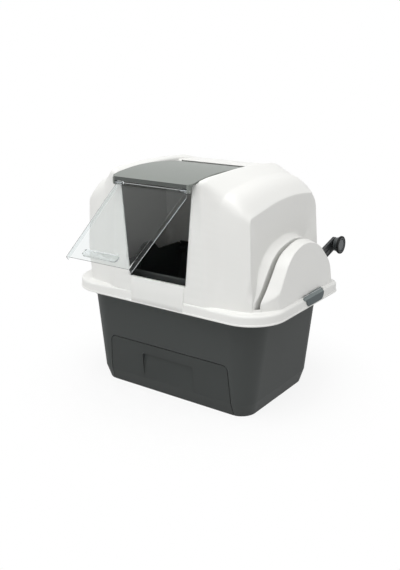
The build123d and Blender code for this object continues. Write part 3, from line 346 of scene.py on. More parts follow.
def rounded(corners, cut_in, cut_out, straight, turn, share=0.48):
    """A chain of corners, each rounded by a conic arc.

    Corner i is cut back by cut_in[i] before it and cut_out[i] after it. The arc between is a
    rational quadratic with the corner as its middle control point and the cosine of half the
    turn as its weight, which is a true circle when both cuts are equal. straight[i] is the
    number of steps on the run that leads to corner i, and turn[i] the number on its arc.
    No cut takes more than that share of its run. Corners may carry further axes, so a whole
    family of chains is rounded at once."""
    corners = np.asarray(corners, float)
    flat = corners.shape[1:-1]
    rows, start = [corners[0][None]], corners[0]
    for i in range(1, len(corners)):
        corner = corners[i]
        last = i == len(corners) - 1
        back = corners[i - 1] - corner
        back_length = np.linalg.norm(back, axis=-1, keepdims=True) + 1e-9
        if last or turn[i] == 0:
            arc_start = arc_end = corner
        else:
            ahead = corners[i + 1] - corner
            ahead_length = np.linalg.norm(ahead, axis=-1, keepdims=True) + 1e-9
            near = np.broadcast_to(cut_in[i], flat)[..., None]
            far = np.broadcast_to(cut_out[i], flat)[..., None]
            arc_start = corner + back / back_length * np.minimum(near, share * back_length)
            arc_end = corner + ahead / ahead_length * np.minimum(far, share * ahead_length)
        along = np.arange(1, straight[i] + 1).reshape((-1,) + (1,) * corner.ndim) / straight[i]
        rows.append(start + (arc_start - start) * along)
        if not last and turn[i]:
            cosine = -(back * ahead).sum(-1, keepdims=True) / (back_length * ahead_length)
            weight = np.sqrt(np.clip((1 + cosine) / 2, 0.05, 1))
            t = np.arange(1, turn[i] + 1).reshape((-1,) + (1,) * corner.ndim) / turn[i]
            blend = (1 - t) ** 2, 2 * weight * t * (1 - t), t ** 2
            rows.append((blend[0] * arc_start + blend[1] * corner + blend[2] * arc_end) / sum(blend))
        start = arc_end
    return np.concatenate(rows)


square = [(0, -1), (1, -1), (1, 1), (-1, 1), (-1, -1), (0, -1)]
disc = rounded(square, [1] * 6, [1] * 6, [1] * 6, [0] + [8] * 4 + [0], 1.0)
print("a square cut to its middles is a circle, radius", np.hypot(*disc.T).min().round(4), "to",
      np.hypot(*disc.T).max().round(4))

# %% [markdown]
# A grid becomes a mesh of quads. Points that fall together, as at a pole, are merged, and Solidify
# gives the skin its wall. Edges that turn sharply stay crisp, and all others are shaded smooth.

# %% Skins


def weld(mesh):
    """Merges points that coincide, as at a pole or a seam, and drops loose ones."""
    work = bmesh.new()
    work.from_mesh(mesh)
    bmesh.ops.remove_doubles(work, verts=work.verts, dist=1e-6)
    bmesh.ops.dissolve_degenerate(work, edges=work.edges, dist=1e-7)
    bmesh.ops.delete(work, geom=[v for v in work.verts if not v.link_faces], context="VERTS")
    work.to_mesh(mesh)
    work.free()


def skin(name, grid, material, body, keep=None, wrap=(False, False), wall=0.0, crease=35.0):
    """A mesh from a grid of points in millimetres, shape (u, v, 3), facing the side of du x dv.

    keep is a mask of the quads that stay, wrap closes the grid along u or v, wall is the
    thickness that Solidify gives it inwards, and crease is the sharpest turn shaded smooth."""
    grid = np.asarray(grid, float) * MM
    count_u, count_v = grid.shape[:2]
    index = np.arange(count_u * count_v).reshape(count_u, count_v)
    if wrap[0]:
        index = np.vstack([index, index[:1]])
    if wrap[1]:
        index = np.hstack([index, index[:, :1]])
    quads = np.stack([index[:-1, :-1], index[1:, :-1], index[1:, 1:], index[:-1, 1:]], -1)
    if keep is not None:
        quads = quads[keep]
    mesh = bpy.data.meshes.new(name)
    mesh.from_pydata(grid.reshape(-1, 3).tolist(), [], quads.reshape(-1, 4).tolist())
    piece = bpy.data.objects.new(name, mesh)
    bpy.context.scene.collection.objects.link(piece)
    weld(mesh)
    mesh.materials.append(material)
    if wall:
        shell = piece.modifiers.new("wall", "SOLIDIFY")
        shell.thickness, shell.offset, shell.use_even_offset = wall * MM, -1, True
    mesh.polygons.foreach_set("use_smooth", np.ones(len(mesh.polygons), bool))
    mesh.set_sharp_from_angle(angle=np.radians(crease))
    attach(piece, body)
    print(name, len(mesh.polygons), "faces")
    return piece


# %% [markdown]
# ## The hood
# Seen from the side, every line that runs over the hood (the frame's edge, the foot of its skirt,
# the crease of the side panel, the lever slot) is an arch that starts and ends on the rim. So the
# hood is a family of cross-sections: for each angle about the middle of its base, a chain of
# corners leads from the roof's centre line out over the shoulder and down the side, and is rounded.
# Extruding and bevelling a block would round every edge alike, and here some edges are crisp while
# others are as soft as a bar of soap.

# %% Arches of the hood
base_y, base_z = 6.0, box_mm("tub")[1][2]
face_y, back_y = -222.0, 196.0
arch_steps, arch_share = 14, 0.9


def arch_points(points, cuts):
    """A rounded arch: straight runs between the corners, and a conic arc at each."""
    count = len(points)
    turns = [0] + [arch_steps] * (count - 2) + [0]
    return rounded(points, cuts, cuts, [arch_steps] * count, turns, arch_share)


def angle_of(y, z):
    """Angle about the middle of the base, from the front towards the top."""
    return np.arctan2(z - base_z, base_y - y)


def radius_at(angles, points, cuts):
    """Distance of a rounded arch from the middle of the base, at the angles."""
    arch = arch_points(points, cuts) - (base_y, base_z)
    around = np.arctan2(arch[:, 1], -arch[:, 0])
    return np.interp(angles, around, np.hypot(arch[:, 0], arch[:, 1]))


frame_arch = ([(face_y, base_z), (face_y, 641), (-20, 650), (back_y - 0.5, 634), (back_y, base_z)],
              [0, 20, 100, 90, 0])
print("the frame's arch peaks at z", arch_points(*frame_arch)[:, 1].max().round(1))

# %% [markdown]
# The sections are spaced evenly along the frame's arch. The front opening and the lid's opening are
# holes in this skin, so some rows have to fall on their edges: the nearest row is moved there. A few
# rows are added close above the rim.

# %% Rows of the hood
entry_low, entry_top, entry_low_half, entry_top_half = 355.0, 609.0, 93.0, 115.0
recess_half, hinge_half, hinge_front_y, opening_back_y = 131.0, 123.5, 35.5, 57.5
roof_seat_z = 629.0
section_count = 250

outline = arch_points(*frame_arch)
gone = np.append(0, np.cumsum(np.hypot(*np.diff(outline, axis=0).T)))
angles = np.interp(np.linspace(0, gone[-1], section_count), gone, angle_of(*outline.T))
entry_angle = angle_of(face_y, entry_low)
hinge_angle = angle_of(hinge_front_y, roof_seat_z)
opening_angle = angle_of(opening_back_y, roof_seat_z)
for stop in (entry_angle, hinge_angle, opening_angle):
    angles[np.argmin(abs(angles - stop))] = stop
low_rows = np.radians([0.6, 1.2, 1.9, 2.7, 3.6])
angles = np.unique(np.concatenate([angles, low_rows, np.pi - low_rows]).round(9))
print("cross-sections:", len(angles))

# %% [markdown]
# Each arch is a few corners of y and z with the length cut off at each. From the middle of the roof
# outwards: the seat of the lid, the frame's inner and outer edge, the foot of its skirt, the bend of
# the shoulder, the crease of the side panel and the lever slot.

# %% Radii of the arches
frame_edge = radius_at(angles, *frame_arch)
inner_edge = radius_at(angles, [(face_y, base_z), (face_y - 2, 632), (-30, 641.5), (56, 640), (188, 626),
                                (back_y, base_z)], [0, 8, 40, 40, 80, 0])
seat = radius_at(angles, [(face_y - 8, base_z), (face_y - 8, 623), (-190, 630.6), (-75, 635.6),
                          (55, 625.5), (58, 633), (300, 622), (300, base_z)], [0, 2, 20, 60, 2, 2, 4, 0])
floor = np.minimum(frame_edge, seat)
inner_edge = np.maximum(np.minimum(inner_edge, frame_edge), floor)
foot = radius_at(angles, [(-206, base_z), (-206, 604), (-60, 625), (90, 621), (181, 598), (190, base_z)],
                 [0, 32, 60, 50, 50, 0])
bend = radius_at(angles, [(-200, base_z), (-202, 590), (-60, 611), (90, 608), (176, 584), (186, base_z)],
                 [0, 40, 60, 50, 50, 0])
crease = radius_at(angles, [(-187, base_z), (-192, 350), (-187.5, 547), (20, 583), (158, 560),
                            (176, base_z)], [0, 20, 12, 120, 40, 0])
slot = radius_at(angles, [(-176, base_z), (-176, 332), (-155, 350), (-83, 445), (18, 465), (84, 451),
                          (152, 389), (175.5, base_z)], [0, 4, 14, 45, 36, 30, 45, 0])
print("the crease runs", round(float((frame_edge - crease).min())), "to",
      round(float((frame_edge - crease).max())), "mm inside the frame's edge")

# %% [markdown]
# The widths change with height. The frame narrows upwards and spreads again into the shoulders
# beside the lid, its skirt gets wider on the roof, and the side panel leans in by 12 mm. The crease
# round the panel is crisp at the top and melts away towards the rim.

# %% Widths of the hood


def on_arch(x, radius):
    """Points at x on an arch of that radius, for every angle."""
    return np.stack([np.broadcast_to(x, angles.shape), base_y - radius * np.cos(angles),
                     base_z + radius * np.sin(angles)], -1)


def ease(value):
    """A smooth step from 0 to 1: three squares minus two cubes."""
    value = np.clip(value, 0, 1)
    return value * value * (3 - 2 * value)


def height(radius):
    """Height of an arch at every angle: the base plus the radius times the sine."""
    return base_z + radius * np.sin(angles)


entry_half = np.interp(height(floor), (entry_low, entry_top), (entry_low_half, entry_top_half))
frame_half = np.interp(height(frame_edge), (326, 604, 634), (151, 141.3, 150))
foot_half = 183.5 + 11.5 * ease((height(foot) - 560) / 46)
bend_half = 236 - 6 * ease((height(bend) - 560) / 40)
panel_low_x, lean = 274.0, 12 / 249
crease_x = panel_low_x - (height(crease) - base_z) * lean
valley_cut = 16 - 12.5 * ease((height(foot) - 530) / 60)
crease_cut = 26 - 23.5 * ease((height(crease) - base_z) / 105)
print("the frame is", frame_half.min().round(1), "to", frame_half.max().round(1), "mm either side")

# %% [markdown]
# On the right the panel is dished, and flares out to a lip along the lever slot. Over the last 10 mm
# it rises steeply out of a soft hollow, turns over the lip, and goes in as a flange that hides the
# works. On the left it runs on to the middle.

# %% Chains of the hood
slot_low_x = 275.0
flare_width, flare_blend, dish, dish_reach, flange_depth = 10.0, 0.35, 17.0, 80.0, 45.0
frame_chain = [on_arch(0, floor), on_arch(entry_half, floor), on_arch(hinge_half, floor),
               on_arch(recess_half, floor), on_arch(recess_half + 1, inner_edge),
               on_arch(frame_half, frame_edge), on_arch(foot_half, foot), on_arch(bend_half, bend),
               on_arch(crease_x, crease)]
cut = [0, 0, 0, 1.5, 5, 6, valley_cut, 34, crease_cut, 0]
runs = [1, 6, 2, 1, 2, 4, 4, 5, 5]
turns = [0, 0, 0, 2, 4, 5, 8, 8, 6, 0]


def flare_rise(done):
    """Share of the flare's rise: a parabola up to flare_blend, then a straight slope."""
    rise = done ** 2 / (2 * flare_blend) if done < flare_blend else done - flare_blend / 2
    return rise / (1 - flare_blend / 2)


width = np.minimum(flare_width, 0.7 * (crease - slot))
dished = dish * ease((crease - slot - 16) / dish_reach)
panel_x = panel_low_x - (height(slot + width) - base_z) * lean - dished
panel = rounded(frame_chain + [on_arch(panel_x, slot + width)], cut, cut, runs + [10], turns)
flare = [on_arch(panel_x + (slot_low_x - panel_x) * flare_rise(done), slot + width * (1 - done))
         for done in np.linspace(0, 1, 14)[1:-1]]
lip = rounded([flare[-1], on_arch(slot_low_x, slot), on_arch(slot_low_x - 0.5, slot - flange_depth)],
              [0, 1.4, 0], [0, 1.4, 0], [1, 1, 4], [0, 3, 0])[1:]
right = np.concatenate([panel, flare, lip])
centre = on_arch(panel_low_x, np.full(angles.shape, 1e-6))
left = rounded(frame_chain + [centre], cut, cut, runs + [14], turns)
left[..., 0] *= -1
print("points on each section:", len(left), "on the left,", len(right), "on the right")

# %% [markdown]
# The two halves meet on the roof's centre line. The quads inside the openings are left out, before
# the skin gets its 3 mm wall.

# %% Hood shell
hood_wall = 3.0
whole = np.concatenate([left[::-1], right[1:]])
middle_x = abs(whole[1:, :-1, 0] + whole[:-1, :-1, 0]) / 2
half_at = (entry_half[1:] + entry_half[:-1]) / 2
middle_angle = (angles[1:] + angles[:-1]) / 2
opening = (middle_x < half_at) & (middle_angle > entry_angle) & (middle_angle < opening_angle)
opening |= (middle_x < hinge_half) & (middle_angle > hinge_angle) & (middle_angle < opening_angle)
hood_shell = skin("hood_shell", whole, hood_pp, "base", keep=~opening, wall=hood_wall, crease=40)

# %% [markdown]
# ## The lever housing
# Outside the slot stands a shell like half a bell. Its face is flat, its flank slopes forward to
# the slot, and in front its crease swoops down and dies out on a chamfer above the rim. The crease
# is one line in space, and each cross-section passes through it.

# %% Housing shell
slot_high_x, housing_x = housing_near[0], housing_far[0]
housing_crease = arch_points([(288, -172, base_z), (291, -168, 329), (housing_x, -132, 352),
                              (housing_x, -80, 440), (housing_x, -4, 464), (housing_x, 77, 442.5),
                              (housing_x, 150, 376), (housing_x, 168, base_z)],
                             [0, 9, 18, 40, 38, 35, 28, 0])
around = angle_of(housing_crease[:, 1], housing_crease[:, 2])
crest = np.interp(angles, around, np.hypot(*(housing_crease[:, 1:] - (base_y, base_z)).T))
crest_x = np.interp(angles, around, housing_crease[:, 0])
lip_edge = radius_at(angles, [(-174, base_z), (-171, 334), (-140, 365), (-84, 440), (5, 466), (84, 449.5),
                              (151, 387), (173.5, base_z)], [0, 5, 16, 32, 40, 30, 45, 0])
chamfer_end = np.minimum(crest - 4, 135 / np.maximum(np.cos(angles), 0.3))
chamfer_end = np.where(angles > np.pi / 2, crest - 4, chamfer_end)
crest_cut = 5 - 2 * ease((np.degrees(angles) - 12) / 8)
housing_chain = [on_arch(slot_high_x, lip_edge - flange_depth), on_arch(slot_high_x, lip_edge),
                 on_arch(crest_x, crest), on_arch(housing_x, chamfer_end),
                 on_arch(housing_x, np.full(angles.shape, 1e-6))]
housing_cut = [0, 1.4, crest_cut, 9, 0]
housing = rounded(housing_chain, housing_cut, housing_cut, [0, 2, 8, 2, 14], [0, 3, 5, 4, 0])
housing_shell = skin("housing_shell", housing, hood_pp, "base", wall=hood_wall, crease=40)
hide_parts("lever_housing")

# %% [markdown]
# ## The rim
# A band 28 mm high goes round the hood's foot. Its top is a ledge that meets every wall in a
# fillet. Both are one profile, carried round bearings about the middle of the rim, between the
# outline of the walls' feet and a rectangle with round corners. A bead stands out along its foot.

# %% Plan of the rim
rim_half_x, rim_back = hood_far[:2]
rim_front, rim_low = hood_near[1:]
rim_top = housing_near[2]
front_corner, rear_corner = 104.0, 40.0
rim_middle = (rim_front + rim_back) / 2
bearings = np.linspace(-np.pi / 2, 1.5 * np.pi, 361)[:-1]


def plan_radius(bearings, half_x, front, back):
    """Distance of a rectangle with round corners from the middle of the rim, at the bearings."""
    x, y = half_x, (back - front) / 2
    cuts = [0, front_corner, rear_corner, rear_corner, front_corner, 0]
    loop = rounded([(0, -y), (x, -y), (x, y), (-x, y), (-x, -y), (0, -y)], cuts, cuts,
                   [30] * 6, [0] + [24] * 4 + [0])
    around = np.unwrap(np.arctan2(loop[:, 1], loop[:, 0]))
    return np.interp(bearings, around, np.hypot(loop[:, 0], loop[:, 1]))


rim_outer = plan_radius(bearings, rim_half_x, rim_front, rim_back)
loop = np.concatenate([panel[:, 0], housing[4:, 0], housing[4:, -1][::-1], panel[:, -1][::-1],
                       left[1:, -1], left[::-1, 0]])[:, :2] - (0, rim_middle)
around = np.unwrap(np.arctan2(loop[:, 1], loop[:, 0]))
order = np.argsort(around, kind="stable")
rim_inner = np.interp(bearings, around[order], np.hypot(*loop[order].T), period=2 * np.pi)
print("the ledge is", (rim_outer - rim_inner).min().round(1), "to", (rim_outer - rim_inner).max().round(1),
      "mm wide")

# %% Rim of the hood
bead, bead_top, rim_wall, upstand = 1.2, rim_low + 4, 3.0, 8.0


def around_rim(radius, z):
    """Points at a radius and a height for every bearing."""
    return np.stack([radius * np.cos(bearings), rim_middle + radius * np.sin(bearings),
                     np.full(bearings.shape, z)], -1)


rim_chain = [around_rim(rim_inner - 0.4, rim_top + upstand), around_rim(rim_inner - 0.4, rim_top - 0.5),
             around_rim(rim_outer - 1, rim_top - 0.5), around_rim(rim_outer - 0.6, bead_top),
             around_rim(rim_outer + bead, bead_top), around_rim(rim_outer + bead, rim_low),
             around_rim(rim_outer - rim_wall, rim_low), around_rim(rim_outer - rim_wall, rim_top - 3.5),
             around_rim(rim_inner - rim_wall, rim_top - 3.5),
             around_rim(rim_inner - rim_wall, rim_top + upstand),
             around_rim(rim_inner - 0.4, rim_top + upstand)]
rim_cut = [0, 8, 6, 1.2, 1, 1, 0.5, 2, 0.5, 0.5, 0]
rim_runs = [0, 1, 3, 5, 1, 1, 1, 3, 2, 1, 1]
rim_turns = [0, 5, 7, 3, 2, 2, 1, 2, 1, 1, 0]
rim_grid = rounded(rim_chain, rim_cut, rim_cut, rim_runs, rim_turns)
hood_rim = skin("hood_rim", rim_grid, hood_pp, "base", wrap=(False, True), crease=40)

# %% [markdown]
# Under the opening the rim's front rises into a sill, flush with it: a plate whose edges turn back
# into the face.

# %% Entry sill
sill_half, sill_low, sill_knee, sill_top = 88.0, 283.5, 330.0, entry_low
sill_depth = 11.0
plate_front = rim_front - 0.8
sill_x = rounded([(-sill_half, 1), (-sill_half, 0), (sill_half, 0), (sill_half, 1)], [0, 3, 3, 0],
                 [0, 3, 3, 0], [0, 1, 12, 1], [0, 5, 5, 0])
sill_z = rounded([(sill_low, 0), (sill_knee, 0), (sill_top, 3), (sill_top, 12)], [0, 16, 2.5, 0],
                 [0, 16, 2.5, 0], [0, 2, 2, 1], [0, 5, 5, 0])
sill_x[:, 1] *= sill_depth
sill = np.empty((len(sill_x), len(sill_z), 3))
sill[..., 0] = sill_x[:, :1]
sill[..., 1] = np.maximum(plate_front + sill_x[:, 1:], plate_front + sill_z[None, :, 1])
sill[..., 2] = sill_z[:, 0]
entry_sill = skin("entry_sill", sill, hood_pp, "base", wall=hood_wall, crease=40)

# %% [markdown]
# ## Slots and windows
# Seven vent slots open at the back, and a window in each side of the rim takes the latch. They are
# cut out of the finished skins with blocks that have rounded corners, as a mould's inserts would.

# %% Blocks


def rounded_block(middle, size, radius, axis):
    """A block with a rounded rectangle as its section, long along the axis (0 for x, 1 for y)."""
    half = np.array(size, float) / 2
    across = [i for i in range(3) if i != axis]
    a, b = half[across[0]], half[across[1]]
    cuts = [0] + [radius] * 4 + [0]
    loop = rounded([(0, -b), (a, -b), (a, b), (-a, b), (-a, -b), (0, -b)], cuts, cuts,
                   [1] * 6, [0] + [6] * 4 + [0], 0.5)[:-1]
    ends = np.zeros((2, len(loop), 3))
    ends[..., across[0]] = loop[:, 0]
    ends[..., across[1]] = loop[:, 1]
    ends[..., axis] = np.array([[-half[axis]], [half[axis]]])
    points = (ends.reshape(-1, 3) + middle) * MM
    count = len(loop)
    faces = [tuple(range(count)), tuple(range(2 * count - 1, count - 1, -1))]
    faces += [(i, count + i, count + (i + 1) % count, (i + 1) % count) for i in range(count)]
    mesh = bpy.data.meshes.new("block")
    mesh.from_pydata(points.tolist(), [], faces)
    work = bmesh.new()
    work.from_mesh(mesh)
    bmesh.ops.recalc_face_normals(work, faces=work.faces)
    work.to_mesh(mesh)
    work.free()
    block = bpy.data.objects.new("block", mesh)
    bpy.context.scene.collection.objects.link(block)
    return block


def finish_block(block, name, material, body):
    """Makes a block a piece of its own: its name, its material and its body."""
    block.name = name
    block.data.materials.append(material)
    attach(block, body)


# %% Cutting


def cut_out(piece, blocks):
    """Takes the blocks' volumes out of a piece, and keeps its mesh with its wall as the finished one."""
    for block in blocks:
        slice_off = piece.modifiers.new("cut", "BOOLEAN")
        slice_off.object, slice_off.operation, slice_off.solver = block, "DIFFERENCE", "EXACT"
    bpy.context.view_layer.update()
    made = bpy.data.meshes.new_from_object(piece.evaluated_get(bpy.context.evaluated_depsgraph_get()))
    piece.modifiers.clear()
    piece.data = made
    for block in blocks:
        bpy.data.objects.remove(block)
    print(piece.name, "after cutting:", len(made.polygons), "faces")


vent_pitch, vent_z, vent_size = 16, 482, (8, 30, 60)
vents = [rounded_block((vent_pitch * i, back_y - 2, vent_z), vent_size, 4, 1) for i in range(-3, 4)]
cut_out(hood_shell, vents)

# %% [markdown]
# The windows are a little wider than the latches, whose middle and length come from the frame.

# %% Latch windows
latch_near, latch_far = box_mm("right_latch")
latch_y, latch_half = (latch_near[1] + latch_far[1]) / 2, (latch_far[1] - latch_near[1]) / 2
window_gap, window_r, window_z = 0.8, 17.5, 306
window_size = (22, 2 * (latch_half + window_gap), 40)
windows = [rounded_block((side * 330, latch_y, window_z), window_size, window_r, 0) for side in (-1, 1)]
cut_out(hood_rim, windows)

for piece in (hood_shell, hood_rim, entry_sill):
    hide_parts("hood")

# %% [markdown]
# ## The knob
# The knob is turned work in all but name: a body that widens to a disc, a dark soft ring round its
# edge, and a raised ring on its face. Each part is a closed profile of depth and radius, spun about
# the pin.

# %% Turned pieces
knob_near, knob_far = (np.array(corner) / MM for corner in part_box("knob"))
knob_from, knob_to = knob_near[0], knob_far[0]
knob_y, knob_z = (knob_near[1:] + knob_far[1:]) / 2
knob_body = nodes["knob"]["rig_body"]


def turned(name, corners, cuts, material, steps=64):
    """A closed profile of (x, radius) spun about the pin: y and z are the radius times cosine and sine."""
    turns = [0] + [6 if corner_cut else 0 for corner_cut in cuts[1:]] + [0]
    profile = rounded(corners + corners[:1], cuts + [0], cuts + [0], [0] + [3] * len(corners), turns)[:-1]
    around = np.linspace(0, 2 * np.pi, steps + 1)[:-1]
    depth, radius = profile[:, :1], profile[:, 1:]
    grid = np.stack([np.broadcast_to(depth, (len(profile), steps)), knob_y + radius * np.cos(around),
                     knob_z + radius * np.sin(around)], -1)
    return skin(name, grid[::-1], material, knob_body, wrap=(True, True), crease=40)


# %% Knob
pin_clear, knob_r = 4.2, 26.0
knob_grip = turned("knob_grip", [(knob_from, pin_clear), (knob_from, 19.5), (knob_from + 7, 20),
                                 (knob_to - 7, 24.8), (knob_to - 5, 24.8), (knob_to - 5, 17.5),
                                 (knob_to - 9, 17.5), (knob_to - 9, pin_clear)],
                   [0, 3, 4, 2, 0.5, 0.5, 0.5, 0], grip_pp)
knob_ring = turned("knob_ring", [(knob_to - 7, 21), (knob_to - 7, 25.6), (knob_to - 3, knob_r),
                                 (knob_to, 25), (knob_to, 21.6), (knob_to - 3, 21)],
                   [0, 1.5, 3, 2, 1.5, 0.5], tyre_tpe)
knob_face = turned("knob_face", [(knob_to - 5, 18), (knob_to - 5, 21.2), (knob_to - 1, 21.2),
                                 (knob_to - 1.4, 18)], [0, 0.3, 0.6, 0.6], grip_pp, 48)
for piece in (knob_grip, knob_ring, knob_face):
    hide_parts("knob")

# %% [markdown]
# ## The latches
# A latch is one bent plate: a top that slopes over the rim's edge, with a wavy inner side and a
# lobe at its front, and a face with round corners and a coarser texture. Its profile of x and z is
# carried along y, and its reach inwards and downwards are functions of y.

# %% Edges of the latch
latch_edge_z, latch_slope, lobe, lobe_x, corner_r = 307.0, 0.95, 12.0, 328.5, 17.0
latch_face_x, latch_low_z = latch_far[0], latch_near[2]
latch_front, latch_back = latch_near[1], latch_far[1]
along = np.concatenate([np.linspace(latch_front - lobe, latch_front, 12)[:-1],
                        np.linspace(latch_front, latch_front + corner_r, 14)[:-1],
                        np.linspace(latch_front + corner_r, latch_back - corner_r, 22)[:-1],
                        np.linspace(latch_back - corner_r, latch_back, 14)])
into = np.clip(corner_r - np.minimum(along - latch_front, latch_back - along), 0, corner_r)
drop = latch_low_z + corner_r - np.sqrt(corner_r ** 2 - np.minimum(into, corner_r - 0.2) ** 2)
tip = np.sqrt(np.clip(1 - ((latch_front - 2 - along) / (lobe - 1.9)).clip(0, 1) ** 2, 0.0, 1))
inner_x = lobe_x - tip * (3.6 + 2.6 * ease((along - latch_front - 8) / 45))
outer_x = lobe_x + tip * (latch_face_x - lobe_x)
inner_z = latch_edge_z + latch_slope * (latch_face_x - inner_x)
outer_z = latch_edge_z + latch_slope * (latch_face_x - outer_x)
drop = np.where(along < latch_front, outer_z - 3, np.minimum(drop, outer_z - 3))
print("the latch's top is", (outer_x - inner_x).max().round(1), "mm wide")

# %% Latch plates
latch_wall = 2.6


def latch_plate(name, side, node):
    """The bent plate on one side, a family of rounded chains over y."""
    def at(x, z):
        """Points at x and z for every y along the latch."""
        return np.stack([side * x, along, np.broadcast_to(z, along.shape)], -1)

    chains = [at(inner_x, inner_z - 2), at(inner_x, inner_z), at(outer_x, outer_z), at(outer_x, drop)]
    grid = rounded(chains, [0, 0.8, 1.2, 0], [0, 0.8, 1.2, 0], [0, 1, 5, 8], [0, 3, 4, 0])
    if side < 0:
        grid = grid[::-1]
    piece = skin(name, grid, latch_pp, nodes[node]["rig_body"], wall=latch_wall, crease=40)
    # The face takes the second material, whose darker colour is painted shade.
    piece.data.materials.append(latch_face_painted_shade_pp)
    for face in piece.data.polygons:
        face.material_index = int(side * face.center.x > (latch_face_x - 0.5) * MM)
    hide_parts(node)


# %% [markdown]
# Two ears on the rim hold each latch's pins. The front one ends lower, under the lobe.

# %% Latch ears
ear_x, ear_offset, ear_size, ear_radius = 324.6, 51.75, (9, 3.5, 7), 2.5
front_ear_top, rear_ear_top = 311.0, 315.4


def latch_ear(name, side, way, top):
    """A small upright block on the rim, in front of the latch (way -1) or behind it (way 1)."""
    middle = (side * ear_x, latch_y + way * ear_offset, top - ear_size[2] / 2)
    ear = rounded_block(middle, ear_size, ear_radius, 1)
    finish_block(ear, name, hood_pp, "base")
    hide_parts("hood")
    print(name, "at", np.round(middle, 1))


for side, word in ((1, "right"), (-1, "left")):
    latch_plate(word + "_latch_plate", side, word + "_latch")
    latch_ear(word + "_front_latch_ear", side, -1, front_ear_top)
    latch_ear(word + "_rear_latch_ear", side, 1, rear_ear_top)

# %% [markdown]
# ## The door
# A clear sheet with turned-back sides, a raised bar to push at its foot and a knuckle at each top
# corner. It is made hanging straight down, where its numbers are simple, and then turned about its
# hinge to where it rests. Its rows are few and long: on a clear sheet, many small quads round a
# bend would show as a ladder of reflections.

# %% Door sheet
pins_near, pins_far = box_mm("door_pins")
door_y, door_z = (pins_near[1:] + pins_far[1:]) / 2
door_length, door_top_half, door_low_half = 258.0, 114.0, 101.0
door_wall, door_side, door_turn = 1.6, 13.0, 54.0
fall = np.append(np.linspace(0, 14, 8), door_length)
door_half = np.interp(fall, (0, door_length), (door_top_half, door_low_half))
door_back = 1 + (door_side - 1) * ease((fall - 2) / 11)


def on_door(x, behind):
    """A column of points down the hanging door, behind its front face."""
    return np.stack([x, door_y - door_wall / 2 + np.broadcast_to(behind, fall.shape), door_z - fall], -1)


sheet = rounded([on_door(door_half, door_back), on_door(door_half, 0), on_door(-door_half, 0),
                 on_door(-door_half, door_back)], [0, 4, 4, 0], [0, 4, 4, 0], [0, 3, 12, 3], [0, 6, 6, 0])
door_body = nodes["door"]["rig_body"]
door_sheet = skin("door_sheet", sheet, clear_ps, door_body, wall=door_wall)
# With no block to cut, this only makes the wall part of the mesh, so the rim's edges can be sharp.
cut_out(door_sheet, [])
door_sheet.data.set_sharp_from_angle(angle=np.radians(30))

# %% Bar and knuckles
bar_size, bar_up, knuckle_size, knuckle_x = (110, 4, 20), 20, (22, 10, 10), 103
bar_middle = (0, door_y - door_wall / 2 - bar_size[1] / 2, door_z - door_length + bar_up)
door_bar = rounded_block(bar_middle, bar_size, 8, 1)
finish_block(door_bar, "door_bar", clear_ps, door_body)
door_pieces = [door_sheet, door_bar]
for side, word in ((-1, "left"), (1, "right")):
    knuckle = rounded_block((side * knuckle_x, door_y, door_z), knuckle_size, 5, 0)
    finish_block(knuckle, word + "_door_knuckle", clear_ps, door_body)
    door_pieces.append(knuckle)
hinge = Matrix.Translation((0, door_y * MM, door_z * MM))
swing = hinge @ Matrix.Rotation(np.radians(-door_turn), 4, "X") @ hinge.inverted()
for piece in door_pieces:
    piece.data.transform(swing)
    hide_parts("door")
print("door pieces:", [piece.name for piece in door_pieces])

# %% [markdown]
# ## Studio
# A white sweep, a large soft light from above and a dim white room. The floor and the room are
# white to a straight view by Light Path, so the box itself stays at a plain level of light.

# %% Room
room_light, white = 0.61, (1, 1, 1, 1)


def straight_view(tree, seen):
    """1 for a ray from the camera, a mirror or through clear plastic, and 0 for the light that spreads."""
    value = seen.outputs["Is Camera Ray"]
    for kind in ("Is Glossy Ray", "Is Transmission Ray"):
        either = add(tree, "ShaderNodeMath", {"operation": "MAXIMUM"})
        tree.links.new(value, either.inputs[0])
        tree.links.new(seen.outputs[kind], either.inputs[1])
        value = either.outputs[0]
    return value


world = bpy.data.worlds.new("white room")
bpy.context.scene.world = world
world.use_nodes = True
sky = world.node_tree
sky.nodes.clear()
seen = add(sky, "ShaderNodeLightPath")
soft = add(sky, "ShaderNodeBackground", {"Color": white, "Strength": room_light})
bright = add(sky, "ShaderNodeBackground", {"Color": white, "Strength": 1.0})
both = add(sky, "ShaderNodeMixShader", Fac=straight_view(sky, seen))
sky.links.new(soft.outputs[0], both.inputs[1])
sky.links.new(bright.outputs[0], both.inputs[2])
add(sky, "ShaderNodeOutputWorld", Surface=both.outputs[0])
print("room light:", room_light)

# %% [markdown]
# The sweep is matt white paper. Near the box a straight view sees some of the real shadow, which
# fades from 34 cm out, and at 56 cm from the middle the paper is pure white.

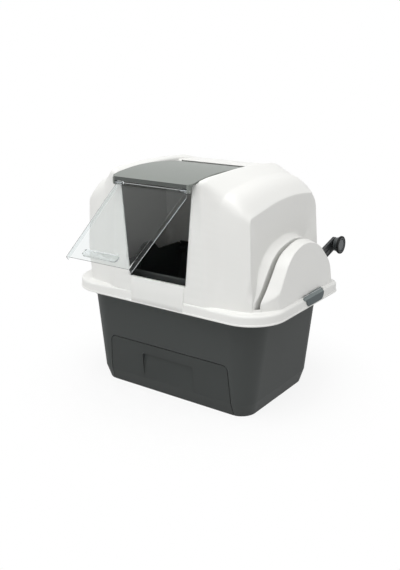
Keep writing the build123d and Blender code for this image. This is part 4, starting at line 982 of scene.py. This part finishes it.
# %% Floor
shadow_from, shadow_to, least_glow = 0.34, 0.56, 0.86
bpy.ops.mesh.primitive_plane_add(size=30, location=(0, 0, 0))
ground = bpy.context.object
ground.name = "floor"
paper = bpy.data.materials.new("white paper sweep, matt")
paper.use_nodes = True
tree = paper.node_tree
tree.nodes.clear()
seen = add(tree, "ShaderNodeLightPath")
place = add(tree, "ShaderNodeTexCoord").outputs["Object"]
matt = add(tree, "ShaderNodeBsdfDiffuse", {"Color": (0.8, 0.8, 0.8, 1)})
sheet_paper = add(tree, "ShaderNodeBsdfDiffuse", {"Color": (0.97, 0.97, 0.97, 1)})
glow = add(tree, "ShaderNodeEmission", {"Color": white, "Strength": 1.0})
reach = add(tree, "ShaderNodeVectorMath", {"operation": "LENGTH"}, Vector=place)
fade = add(tree, "ShaderNodeMapRange", {"From Min": shadow_from, "From Max": shadow_to,
                                        "To Min": least_glow, "To Max": 1.0}, Value=reach.outputs["Value"])
lit = add(tree, "ShaderNodeMixShader", Fac=fade.outputs["Result"])
tree.links.new(sheet_paper.outputs[0], lit.inputs[1])
tree.links.new(glow.outputs[0], lit.inputs[2])
both = add(tree, "ShaderNodeMixShader", Fac=straight_view(tree, seen))
tree.links.new(matt.outputs[0], both.inputs[1])
tree.links.new(lit.outputs[0], both.inputs[2])
add(tree, "ShaderNodeOutputMaterial", Surface=both.outputs[0])
ground.data.materials.append(paper)
print("floor:", paper.name)

# %% [markdown]
# One softbox hangs a little in front and to the right, so that what slopes up and forward is the
# brightest. A weak one from the front left keeps the entry open.

# %% Lights


def softbox(name, place, target, size, power):
    """A square area light that points at a target.

    It tilts off straight down by the arctangent of the sideways distance over the drop."""
    data = bpy.data.lights.new(name, "AREA")
    data.shape, data.size, data.energy = "SQUARE", size, power
    lamp = bpy.data.objects.new(name, data)
    bpy.context.scene.collection.objects.link(lamp)
    lamp.location = place
    aim = np.array(target, float) - np.array(place, float)
    tilt = np.arctan2(np.hypot(aim[0], aim[1]), -aim[2])
    lamp.rotation_euler = (tilt, 0, np.arctan2(aim[0], -aim[1]) + np.pi)
    print(name, "softbox:", power, "W")


box_middle = (0, 0, 0.3)
softbox("overhead", (0.35, -0.9, 2.5), box_middle, 1.6, 30)
softbox("front left", (-1.8, -2.4, 1.6), box_middle, 1.6, 7)

# %% Camera
camera_down, camera_round = 17.52, 35.22
view = bpy.data.cameras.new("camera")
view.lens = 47.3
view.clip_end = 50
camera = bpy.data.objects.new("camera", view)
bpy.context.scene.collection.objects.link(camera)
camera.location = (1.18186, -1.69908, 0.940)
camera.rotation_euler = np.radians((90 - camera_down, 0, camera_round))
bpy.context.scene.camera = camera
bpy.context.scene.view_settings.view_transform = "Standard"
print("camera:", camera_down, "degrees down,", camera_round, "degrees round")
